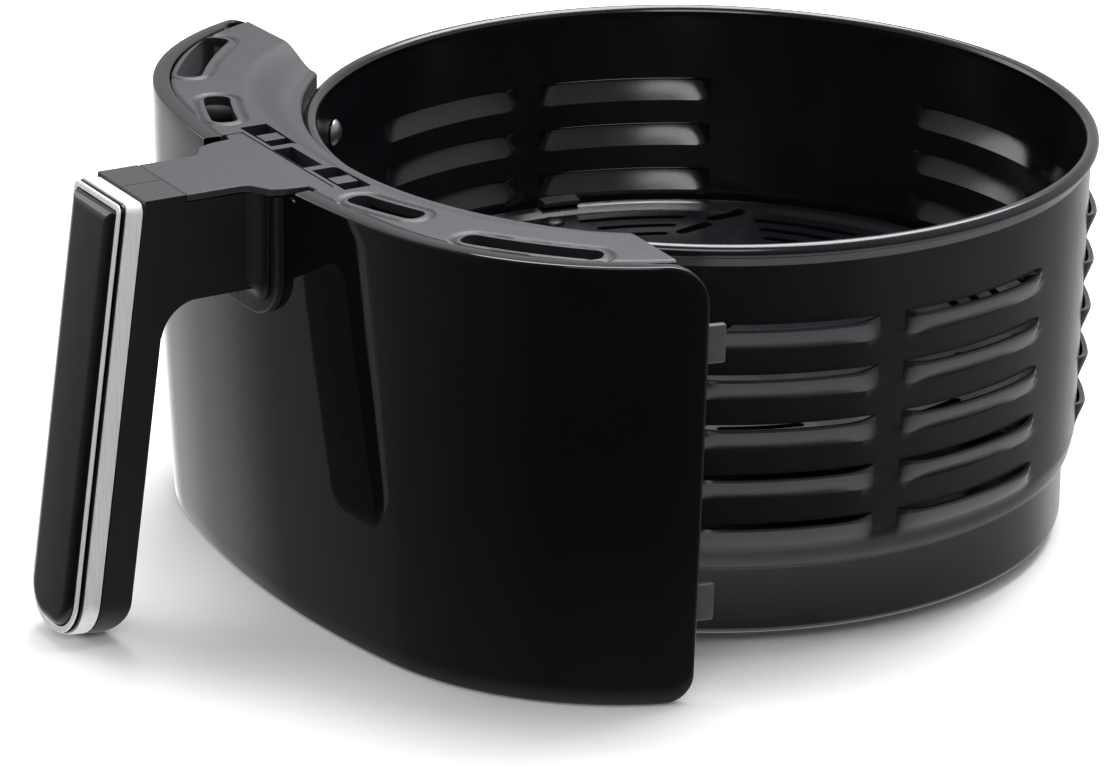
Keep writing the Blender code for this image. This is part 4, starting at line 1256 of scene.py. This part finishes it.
    def slot_outline(self, side: float, start: float, stop: float, radius: float,
                     z: float) -> list[Vector]:
        """Lists one air slot's outline.

        Args:
            side: -1 at the left or 1 at the right.
            start: The end nearer the handle, as a turn.
            stop: The other end.
            radius: The slot's middle radius.
            z: The outline's height.

        Returns:
            The outline's points.
        """
        reach, half, corner = (stop - start) * radius / 2, self.slot_width / 2, 0.0030
        outline = rounded([(-reach, -half, corner), (reach, -half, corner),
                           (reach, half, corner), (-reach, half, corner)], 6)
        points = []
        for k, (along, across) in enumerate(outline):
            after = outline[(k + 1) % len(outline)]
            count = max(1, round(abs(after[0] - along) / 0.0015))
            for step in range(count):
                run = blend_between(along, after[0], step / count)
                turn = FRONT_TURN + side * ((start + stop) / 2 + run / radius)
                out = blend_between(across, after[1], step / count)
                points.append(polar(radius + out, turn, z))
        return points

    def flat_height(self, across: float) -> float:
        """Returns the frame's top height without its grooves, at a share of the way out."""
        return blend_between(self.lip_z, self.curve.top,
                             smooth((across - self.scoop[0]) / self.scoop[1]))

    def frame_height(self, place: Vector, across: float) -> float:
        """Returns the frame's top height at a plan place.

        Args:
            place: The plan place.
            across: The share of the way from the rim's side to the panel's side.

        Returns:
            The height, with the scoop by the rim and the recess round each slot.
        """
        z = self.flat_height(across)
        radius = place.length
        turn = abs(math.atan2(place.y, place.x) - FRONT_TURN)
        edge = self.slot_width / 2
        for start, stop, middle in self.slots:
            along = abs(turn - (start + stop) / 2) * middle - (stop - start) * middle / 2 + edge
            away = math.hypot(max(0.0, along), radius - middle)
            z -= self.groove * (1.0 - smooth(abs(away - edge - 0.0024) / 0.0011))
        return z

    def top_frame(self) -> None:
        """Builds the frame: an upturned channel with its slots, latch pockets and notch."""
        sections = []
        shares = [k / 240 for k in range(-240, 241)]
        columns = [k / 84 for k in range(85)]
        for share in shares:
            run = share * self.frame_run
            inner = polar(self.frame_radius, FRONT_TURN + share * self.frame_turn, 0.0).xy
            outer = self.curve.point(run, self.panel_lip + 0.0003, self.curve.top).xy
            top = []
            for across in columns:
                place = inner.lerp(outer, across)
                z = self.frame_height(place, across)
                z -= self.groove * (1.0 - smooth(min(across, 1.0 - across) / 0.02))
                top.append(Vector((place.x, place.y, z)))
            pocketed = abs(inner.lerp(outer, 0.5).x) < 0.036
            roof = -self.skin - (0.0030 if pocketed else 0.0)
            foot_in = Vector((top[0].x, top[0].y, self.foot_z))
            foot_out = Vector((top[-1].x, top[-1].y, self.foot_z))
            hollow = []
            for across in (0.94, 0.75, 0.5, 0.25, 0.07):
                place = inner.lerp(outer, across)
                hollow.append(Vector((place.x, place.y, self.flat_height(across) + roof)))
            lip_out = Vector((hollow[0].x, hollow[0].y, self.foot_z))
            lip_in = Vector((hollow[-1].x, hollow[-1].y, self.foot_z))
            sections.append([foot_in, *top, foot_out, lip_out, *hollow, lip_in])
        obj = self.maker.skin("air_frame", sections)
        self.maker.cut(obj, self.frame_cutters())
        # The frame takes the lighter grey moulding, whose tone is painted top light.
        self.maker.settle(obj, self.maker.finishes.grey, Slot.GREY, Body.DRAWER, ["top_frame"])

    def frame_cutters(self) -> list[bpy.types.Object]:
        """Makes the shapes cut from the frame.

        Returns:
            Its air slots, latch pockets, the channel between them and the cover's notch.
        """
        cutters = []
        low, high = self.foot_z + 0.004, self.curve.top + 0.002
        for side in (-1.0, 1.0):
            for start, stop, radius in self.slots:
                cutters.append(self.maker.skin("slot_cutter", [
                    self.slot_outline(side, start, stop, radius, z) for z in (low, high)]))
            xs = sorted(side * x for x in self.pocket_x)
            cutters.append(self.block(xs, self.pocket_y, (self.pocket_floor, high)))
        cutters.append(self.block((-self.latch_half, self.latch_half), self.latch_y,
                                  (self.pocket_floor, high)))
        cutters.append(self.block((-self.notch_half, self.notch_half), self.notch_y,
                                  (self.curve.top - self.notch_depth, high)))
        return cutters

    def block(self, x: Sequence[float], y: Sequence[float],
              z: Sequence[float]) -> bpy.types.Object:
        """Makes a plain block.

        Args:
            x: Its lowest and highest x.
            y: Its lowest and highest y.
            z: Its lowest and highest z.

        Returns:
            The block.
        """
        corners = [(x[0], y[0]), (x[1], y[0]), (x[1], y[1]), (x[0], y[1])]
        return self.maker.skin("block", [[Vector((*spot, height)) for spot in corners]
                                         for height in z])

    def screws(self) -> None:
        """Builds the screws through the collar and under the frame."""
        head = [(0.0002, -0.0020), (0.0024, -0.0020), (0.0034, -0.0016), (0.0040, -0.0007),
                (0.0040, 0.0)]
        across, up = self.collar_bolt
        seat = self.curve.point(across, self.panel_thick + 0.0012 + self.liner_thick, up).y
        for side, word in SIDES:
            for name, node, place, axis, length in (
                    ("collar_bolt", "collar_screw", (side * across, seat, up),
                     Vector((0.0, -1.0, 0.0)), 0.0150),
                    ("frame_bolt", "frame_screw", (side * self.frame_bolt[0], self.frame_bolt[1],
                                                   self.foot_z - 0.0003), UPWARDS, 0.0060)):
                profile = [*head, (SHANK, 0.0), (SHANK, length - 0.0008), (SHANK_TIP, length)]
                obj = self.maker.turned(f"{name}_{word}", profile, Vector(place), axis)
                self.maker.settle(obj, self.maker.finishes.zinc, Slot.PLATED, Body.DRAWER,
                                  [f"{node}_{word}"])

    def build(self) -> None:
        """Builds the front's pieces."""
        self.panel()
        self.liner()
        self.top_frame()
        self.screws()


# Handle ----------------------------------------------------------------------------------


@dataclass
class Handle:
    """The arm, its collar and cover, and the leaning grip with its bright trim."""

    maker: Maker
    curve: FrontCurve = field(default_factory=FrontCurve)
    half: float = 0.0147
    under: float = 0.0937
    cover_thick: float = 0.0020
    cover_half: float = 0.0270
    cover_neck: float = 0.0235
    cover_step: Point2 = (-0.1412, -0.1405)
    cover_back: float = -0.1355
    cover_front: float = -0.1738
    collar_half: float = 0.0220
    collar_thick: float = 0.0030
    collar_foot: float = 0.0840
    collar_round: float = 0.0150
    lean: float = math.radians(7.4)
    grip_y: float = -0.1865
    length: float = 0.1283
    body: float = 0.0097
    foot_round: float = 0.0125
    top_round: float = 0.0030
    crook: float = 0.0120
    least_round: float = 0.0006
    edge_round: float = 0.0016
    trim_top: float = 0.0008
    trim_depth: float = 0.0050
    trim_wall: float = 0.0024
    reveal: float = 0.0013
    lip_depth: float = 0.0007
    lip_inset: float = 0.0006
    lip_wall: float = 0.0018
    flange_thick: float = 0.0005
    flange_inset: float = 0.0005
    slope: float = 0.0034
    rise: float = 0.0019
    gap: float = 0.0003
    screws_down: tuple[float, ...] = (0.0480, 0.0880)

    def grip(self, x: float, down: float, out: float) -> Vector:
        """Finds a point by the grip's leaning front plane.

        Args:
            x: Its place across.
            down: Its distance down the plane from the top.
            out: Its distance out of the plane.

        Returns:
            The point.
        """
        along = Vector((0.0, -math.sin(self.lean), -math.cos(self.lean)))
        face = Vector((0.0, -math.cos(self.lean), math.sin(self.lean)))
        return Vector((x, self.grip_y, self.curve.top)) + along * down + face * out

    def outline(self, inset: float, steps: int = 8) -> list[Point2]:
        """Lists the grip's front outline.

        Args:
            inset: How far it is moved inwards all round.
            steps: The steps round each corner.

        Returns:
            Points of (x, distance down).
        """
        right, left = self.half - inset, -self.half + inset
        top, foot = self.trim_top + inset, self.length - inset
        r_top = max(self.least_round, self.top_round - inset)
        r_foot = max(self.least_round, self.foot_round - inset)
        points: list[Point2] = []
        for x, down, radius, start in ((right - r_top, top + r_top, r_top, -90.0),
                                       (right - r_foot, foot - r_foot, r_foot, 0.0),
                                       (left + r_foot, foot - r_foot, r_foot, 90.0),
                                       (left + r_top, top + r_top, r_top, 180.0)):
            points += arc((x, down), radius, start, start + 90.0, steps)
        return points

    def side_view(self) -> list[Point2]:
        """Draws the arm and the grip's body from the side.

        Returns:
            The outline's points of (y, z).
        """
        brow = self.grip(0.0, 0.0, -self.gap)
        foot = self.grip(0.0, self.length, -self.gap)
        crook = self.grip(0.0, self.curve.top - self.under + self.crook * 0.75, -self.body)
        root, step = -self.curve.reach - self.gap, self.cover_front - self.gap
        lid = self.curve.top
        arm_top = lid - self.cover_thick - self.gap
        points: list[Point2] = [(root, arm_top), (step, arm_top), (step, lid),
                                (brow.y, brow.z), (foot.y, foot.z)]
        for k in range(1, 13):
            turn = math.pi / 2 * k / 12
            heel = self.grip(0.0, self.length - self.foot_round * (1.0 - math.cos(turn)),
                             -self.gap - (self.body - self.gap) * math.sin(turn))
            points.append((heel.y, heel.z))
        points.append((crook.y, crook.z))
        points += arc((crook.y + self.crook, self.under - self.crook), self.crook, 168.0, 92.0,
                      14)
        return points + [(root, self.under)]

    def shell(self) -> None:
        """Builds both halves of the moulded shell."""
        points = self.side_view()
        for side, word in SIDES:
            low, high = sorted((side * self.gap / 2, side * self.half))
            obj = self.maker.prism(f"shell_{word}", [points], low, high,
                                   lambda y, z, x: Vector((x, y, z)))
            self.trim_foot(obj)
            self.weight_edges(obj, side)
            bevel = obj.modifiers.new("soft edges", "BEVEL")
            bevel.width = self.edge_round
            bevel.segments = 4
            bevel.limit_method = "WEIGHT"
            self.maker.settle(obj, self.maker.finishes.satin, Slot.SATIN, Body.DRAWER,
                              [f"handle_shell_{word}"])

    def trim_foot(self, obj: bpy.types.Object) -> None:
        """Rounds a shell half's foot to the grip's front outline.

        Args:
            obj: The shell half.
        """
        start = self.length - self.foot_round - 0.0001
        foot = [(x, down) for x, down in self.outline(0.0, 14) if down > start]
        past, below = self.half + 0.003, self.length + 0.010
        outside = [(past, foot[0][1] - 0.001), *foot, (-past, foot[-1][1] - 0.001),
                   (-past, below), (past, below)]
        tool = self.maker.prism("foot_tool", [outside], -0.030, 0.010, self.grip)
        self.maker.cut(obj, [tool])

    def weight_edges(self, obj: bpy.types.Object, side: float) -> None:
        """Marks which of a shell half's edges are rounded, and how much.

        Args:
            obj: The shell half.
            side: -1 at the left or 1 at the right; it is not used.
        """
        mesh = obj.data
        bm = bmesh.new()
        bm.from_mesh(mesh)
        bmesh.ops.remove_doubles(bm, verts=bm.verts, dist=0.00002)
        bmesh.ops.recalc_face_normals(bm, faces=bm.faces)
        layer = bm.edges.layers.float.new("bevel_weight_edge")
        for edge in bm.edges:
            if len(edge.link_faces) != 2 or edge.calc_face_angle(0.0) < math.radians(40.0):
                continue
            xs = [abs(vert.co.x) for vert in edge.verts]
            ys = [vert.co.y for vert in edge.verts]
            zs = [vert.co.z for vert in edge.verts]
            if max(xs) < 0.001:
                edge[layer] = 0.10
            elif max(ys) > -self.curve.reach - 0.001 or min(zs) > self.curve.top - 0.0028:
                edge[layer] = 0.14
            else:
                edge[layer] = 1.0
        bm.to_mesh(mesh)
        bm.free()

    def collar(self) -> None:
        """Builds the flange on the panel and the fillets that run from it into the arm."""
        top = self.curve.top - self.cover_thick - 0.0005
        for side, word in SIDES:
            sections = []
            for k in range(33):
                share = math.sin(math.pi / 2 * k / 32)
                x = max(self.gap / 2, share * self.collar_half)
                over = x - (self.collar_half - self.collar_round)
                foot = self.collar_foot
                if over > 0.0:
                    fall = max(0.0, self.collar_round ** 2 - over ** 2)
                    foot += self.collar_round - math.sqrt(fall)
                ease = self.curve.turned_in(x, self.collar_half, 0.0010)
                face = -self.collar_thick + ease
                outline = rounded([(-self.gap, foot, 0.0), (face, foot, 0.0010),
                                   (face, top, 0.0003), (-self.gap, top, 0.0)], 4)
                sections.append([self.curve.point(side * x, inset, z) for inset, z in outline])
            obj = self.maker.skin(f"collar_{word}", sections)
            self.maker.settle(obj, self.maker.finishes.satin, Slot.SATIN, Body.DRAWER)
            self.root_fillet(f"root_fillet_{word}", side, top)

    def root_fillet(self, name: str, side: float, top: float) -> None:
        """Builds the hollow fillet along the arm's side and under it.

        Args:
            name: The piece's name.
            side: -1 at the left or 1 at the right.
            top: The height where it ends.
        """
        radius, sink = 0.0042, 0.0006
        face = -self.curve.reach - self.collar_thick
        corner = 0.0016
        path: list[tuple[float, float, float, float]] = []
        for z in (top, 0.115, 0.108, 0.102, self.under + corner):
            path.append((self.half, z, 1.0, 0.0))
        for turn in (15, 30, 45, 60, 75, 90):
            t = math.radians(turn)
            path.append((self.half - corner + corner * math.cos(t),
                         self.under + corner - corner * math.sin(t), math.cos(t), -math.sin(t)))
        for x in (0.010, 0.005, self.gap / 2):
            path.append((x, self.under, 0.0, -1.0))
        sections = []
        for x, z, out_x, out_z in path:
            section = []
            for k in range(9):
                turn = math.pi / 2 * k / 8
                away = radius * (1.0 - math.sin(turn))
                proud = radius * (1.0 - math.cos(turn))
                section.append((away, face - proud))
            section += [(-sink, face - radius), (-sink, face + sink), (radius, face + sink)]
            sections.append([Vector((side * (x + out_x * away), y, z + out_z * away))
                             for away, y in section])
        obj = self.maker.skin(name, sections)
        self.maker.settle(obj, self.maker.finishes.satin, Slot.SATIN, Body.DRAWER, sharp=50.0)

    def cover(self) -> None:
        """Builds the flush cover on the arm."""
        reach = self.curve.reach
        plan = [(self.half, self.cover_front, 0.0004), (self.half, -reach - 0.0072, 0.0030),
                (self.collar_half - 0.0008, -reach - 0.0032, 0.0022),
                (self.collar_half + 0.0006, -reach + 0.0010, 0.0012),
                (self.cover_neck, self.cover_step[0], 0.0004),
                (self.cover_half, self.cover_step[1], 0.0006),
                (self.cover_half, self.cover_back, 0.0006)]
        corners = plan + [(-x, y, r) for x, y, r in reversed(plan)]
        obj = self.maker.prism("arm_cover", [rounded(corners, 4)],
                               self.curve.top - self.cover_thick, self.curve.top,
                               lambda x, y, z: Vector((x, y, z)))
        self.maker.soften(obj, 0.0003, 2)
        # The cover takes the lighter grey moulding, whose tone is painted top light.
        self.maker.settle(obj, self.maker.finishes.grey, Slot.GREY, Body.DRAWER,
                          ["arm_top_cover"])

    def front_stack(self) -> None:
        """Builds the trim, the lip and the cushioned insert."""
        finishes = self.maker.finishes
        ring = [self.outline(0.0), self.outline(self.trim_wall)]
        trim = self.maker.prism("bright_trim", ring, 0.0, self.trim_depth, self.grip)
        self.maker.soften(trim, 0.00022)
        self.maker.settle(trim, finishes.chrome, Slot.CHROME, Body.DRAWER, ["grip_trim"])
        low = self.trim_depth + self.reveal
        ring = [self.outline(self.lip_inset), self.outline(self.lip_inset + self.lip_wall)]
        rim = low + self.lip_depth
        lip = self.maker.soften(self.maker.prism("bright_lip", ring, low, rim, self.grip), 0.0003)
        self.maker.settle(lip, finishes.chrome, Slot.CHROME, Body.DRAWER, ["insert_lip"])
        seat, waist, base = self.trim_depth + 0.0001, 0.0027, rim - 0.0002
        flange = seat + self.flange_thick
        stages = [(waist, self.gap), (waist, seat), (self.flange_inset, seat),
                  (self.flange_inset, flange), (waist, flange), (0.00275, base)]
        for k in range(1, 10):
            turn = math.pi / 2 * k / 9
            stages.append((0.0028 + self.slope * (1.0 - math.cos(turn)),
                           base + (self.rise + 0.0002) * math.sin(turn)))
        sections = [[self.grip(x, down, out) for x, down in self.outline(inset)]
                    for inset, out in stages]
        insert = self.maker.skin("grip_cushion", sections)
        self.maker.settle(insert, finishes.cushion, Slot.GLOSS, Body.DRAWER, ["grip_insert"])

    def screws(self) -> None:
        """Builds the screws in the grip's back."""
        axis = self.grip(0.0, 0.0, 1.0) - self.grip(0.0, 0.0, 0.0)
        back, seat = -self.body, -self.body + 0.0024
        profile = [(0.0002, back + 0.0008), (0.0012, back + 0.0004), (0.0036, back + 0.0004),
                   (0.0040, back + 0.0009), (0.0040, seat), (SHANK, seat), (SHANK, 0.0040),
                   (SHANK_TIP, 0.0045)]
        for down, word in zip(self.screws_down, ("upper", "lower")):
            place = self.grip(0.0, down, 0.0)
            obj = self.maker.turned(f"grip_bolt_{word}", profile, place, axis)
            self.maker.settle(obj, self.maker.finishes.zinc, Slot.PLATED, Body.DRAWER,
                              [f"grip_screw_{word}"])

    def build(self) -> None:
        """Builds the handle's pieces."""
        self.shell()
        self.collar()
        self.cover()
        self.front_stack()
        self.screws()


@dataclass
class KeptNodes:
    """Nodes of the frame that keep their own shape and get a better finish."""

    maker: Maker

    def dress(self, node: str, material: bpy.types.Material, width: float) -> None:
        """Gives a node its finish and soft edges.

        Args:
            node: The node's name.
            material: Its finish.
            width: The width of its soft edges.
        """
        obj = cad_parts[node]
        obj.data.materials.clear()
        obj.data.materials.append(material)
        self.maker.soften(obj, width, 2)
        log.info("%s kept from the frame", node)

    def build(self) -> None:
        """Dresses the strap and the latch blocks."""
        self.dress("handle_strap", self.maker.finishes.zinc, 0.0003)
        for _, word in SIDES:
            # The latch blocks take the lighter grey moulding, whose tone is painted top light.
            self.dress(f"frame_clip_{word}", self.maker.finishes.grey, 0.0004)


# Studio ----------------------------------------------------------------------------------


@dataclass
class Studio:
    """The pale floor, the soft lights and the camera."""

    floor_z: float = -0.0040
    eye: tuple[float, float, float] = (1.2431, -0.7903, 0.5874)
    lens: float = 173.93
    sensor: float = 36.0
    pitch: float = 0.3601
    yaw: float = -0.0284
    roll: float = 0.0169
    heading: float = 1.0045
    light_colour: tuple[float, float, float] = (0.955, 0.975, 1.0)
    fill: float = 0.23
    bounce: float = 0.85
    backdrop: float = 1.05
    horizon: Point2 = (-0.25, 0.05)
    underside: Point2 = (-0.44, -0.85)
    softboxes: tuple[tuple[str, Point3, Point3, Point2, float], ...] = (
        ("overhead", (-0.33, 0.44, 1.33), (0.0, 0.0, 0.0), (1.25, 1.25), 41.0),
        ("key", (1.15, -0.70, 1.05), (0.0, 0.05, 0.05), (0.9, 0.5), 5.5),
        ("left wall", (-1.4, -0.9, 0.8), (0.0, -0.1, 0.05), (0.8, 1.0), 5.0),
    )
    lower: tuple[tuple[float, float], ...] = (
        (-180.0, 0.95), (-166.0, 0.64), (-148.0, 0.24), (-110.0, 0.12), (-85.0, 0.07),
        (-50.0, 0.02), (-15.0, 0.02), (5.0, 0.04), (30.0, 0.14), (60.0, 0.24), (95.0, 0.34),
        (140.0, 0.9), (160.0, 1.5), (179.9, 0.95),
    )
    upper: tuple[tuple[float, float], ...] = (
        (-180.0, 0.75), (-150.0, 0.80), (-110.0, 0.30), (-60.0, 0.12), (-30.0, 0.10),
        (10.0, 0.25), (60.0, 0.45), (95.0, 0.55), (150.0, 0.62), (179.9, 0.75),
    )

    def floor(self) -> None:
        """Lays a plain pale floor."""
        bm = bmesh.new()
        bmesh.ops.create_grid(bm, x_segments=1, y_segments=1, size=6.0)
        bmesh.ops.translate(bm, vec=(0.0, 0.0, self.floor_z - 0.0002), verts=bm.verts)
        obj = Maker.from_bmesh(bm, "floor", outward=False)
        sketch = NodeSketch("studio floor")
        sketch.shader_value(Specular_IOR_Level=0.0)
        sketch.tint(sketch.noise(3.0), (0.965, 0.945, 0.92), (0.985, 0.965, 0.94))
        sketch.roughen(sketch.noise(8.0), 0.9, 1.0)
        obj.data.materials.append(sketch.material)
        obj.visible_glossy = False

    def camera(self) -> None:
        """Places the camera."""
        yaw, pitch, roll = self.yaw, self.pitch, self.roll
        ahead = Vector((math.sin(yaw) * math.cos(pitch), math.cos(yaw) * math.cos(pitch),
                        -math.sin(pitch)))
        right = Vector((math.cos(yaw), -math.sin(yaw), 0.0))
        up = right.cross(ahead)
        tilted = right * math.cos(roll) + up * math.sin(roll)
        upright = up * math.cos(roll) - right * math.sin(roll)
        turn = Matrix.Rotation(self.heading, 3, "Z")
        axes = [turn @ tilted, turn @ upright, turn @ -ahead]
        data = bpy.data.cameras.new("camera")
        data.lens = self.lens
        data.sensor_width = self.sensor
        data.clip_end = 50.0
        obj = bpy.data.objects.new("camera", data)
        obj.matrix_world = Matrix.Translation(self.eye) @ Matrix(axes).transposed().to_4x4()
        bpy.context.scene.collection.objects.link(obj)
        bpy.context.scene.camera = obj

    def softbox(self, name: str, place: Sequence[float], target: Sequence[float],
                size: Point2, watts: float) -> None:
        """Hangs one softbox.

        Args:
            name: The light's name.
            place: Where it hangs.
            target: What it points at.
            size: Its width and height.
            watts: Its power.
        """
        data = bpy.data.lights.new(name, "AREA")
        data.shape = "RECTANGLE"
        data.size, data.size_y = size
        data.energy = watts
        data.color = self.light_colour
        obj = bpy.data.objects.new(name, data)
        obj.location = place
        obj.rotation_euler = (Vector(target) - Vector(place)).to_track_quat("-Z", "Y").to_euler()
        bpy.context.scene.collection.objects.link(obj)

    def world(self) -> None:
        """Fills the studio with light, pale round the back and dark at the front."""
        world = bpy.data.worlds.new("studio")
        world.use_nodes = True
        tree = world.node_tree
        background = tree.nodes["Background"]
        place = tree.nodes.new("ShaderNodeTexCoord")
        split = tree.nodes.new("ShaderNodeSeparateXYZ")
        turn = tree.nodes.new("ShaderNodeMath")
        turn.operation = "ARCTAN2"
        share = tree.nodes.new("ShaderNodeMapRange")
        share.inputs["From Min"].default_value = -math.pi
        share.inputs["From Max"].default_value = math.pi
        tree.links.new(place.outputs["Generated"], split.inputs["Vector"])
        tree.links.new(split.outputs["Y"], turn.inputs[0])
        tree.links.new(split.outputs["X"], turn.inputs[1])
        tree.links.new(turn.outputs[0], share.inputs["Value"])
        rise = tree.nodes.new("ShaderNodeMapRange")
        rise.interpolation_type = "SMOOTHSTEP"
        rise.inputs["From Min"].default_value = self.horizon[0]
        rise.inputs["From Max"].default_value = self.horizon[1]
        tree.links.new(split.outputs["Z"], rise.inputs["Value"])
        mix = tree.nodes.new("ShaderNodeMix")
        tree.links.new(rise.outputs["Result"], mix.inputs["Factor"])
        for name, stops in (("A", self.lower), ("B", self.upper)):
            ramp = tree.nodes.new("ShaderNodeValToRGB")
            ramp.color_ramp.interpolation = "EASE"
            while len(ramp.color_ramp.elements) < len(stops):
                ramp.color_ramp.elements.new(0.5)
            for element, (azimuth, level) in zip(ramp.color_ramp.elements, stops):
                element.position = (azimuth + 180.0) / 360.0
                element.color = (level, level * 1.01, level * 1.04, 1.0)
            tree.links.new(share.outputs["Result"], ramp.inputs["Fac"])
            grey = tree.nodes.new("ShaderNodeRGBToBW")
            tree.links.new(ramp.outputs["Color"], grey.inputs["Color"])
            tree.links.new(grey.outputs["Val"], mix.inputs[name])
        path = tree.nodes.new("ShaderNodeLightPath")
        seen = tree.nodes.new("ShaderNodeMix")
        seen.inputs["B"].default_value = self.backdrop
        tree.links.new(path.outputs["Is Camera Ray"], seen.inputs["Factor"])
        glow = tree.nodes.new("ShaderNodeMapRange")
        glow.interpolation_type = "SMOOTHSTEP"
        glow.inputs["From Min"].default_value = self.underside[0]
        glow.inputs["From Max"].default_value = self.underside[1]
        tree.links.new(split.outputs["Z"], glow.inputs["Value"])
        bounce = tree.nodes.new("ShaderNodeMix")
        bounce.inputs["B"].default_value = self.bounce
        tree.links.new(glow.outputs["Result"], bounce.inputs["Factor"])
        tree.links.new(mix.outputs["Result"], bounce.inputs["A"])
        fill = tree.nodes.new("ShaderNodeMath")
        fill.operation = "MULTIPLY_ADD"
        fill.inputs[1].default_value = self.fill
        tree.links.new(path.outputs["Is Diffuse Ray"], fill.inputs[0])
        tree.links.new(bounce.outputs["Result"], fill.inputs[2])
        tree.links.new(fill.outputs[0], seen.inputs["A"])
        tree.links.new(seen.outputs["Result"], background.inputs["Strength"])
        background.inputs["Color"].default_value = (*self.light_colour, 1.0)
        bpy.context.scene.world = world

    def build(self) -> None:
        """Sets up the studio."""
        self.floor()
        self.camera()
        self.world()
        for softbox in self.softboxes:
            self.softbox(*softbox)
        bpy.context.scene.view_settings.view_transform = "Standard"


def main() -> None:
    """Builds the drawer's pieces in order, then the studio."""
    logging.basicConfig(level=logging.INFO, format="%(name)s: %(message)s")
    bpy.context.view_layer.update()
    maker = Maker(Finishes())
    for part in (Basket(maker), Crisper(maker), Front(maker), Handle(maker), KeptNodes(maker)):
        log.info("building %s", type(part).__name__)
        part.build()
    Studio().build()
    log.info("%d pieces", maker.pieces)


if __name__ == "__main__":
    main()
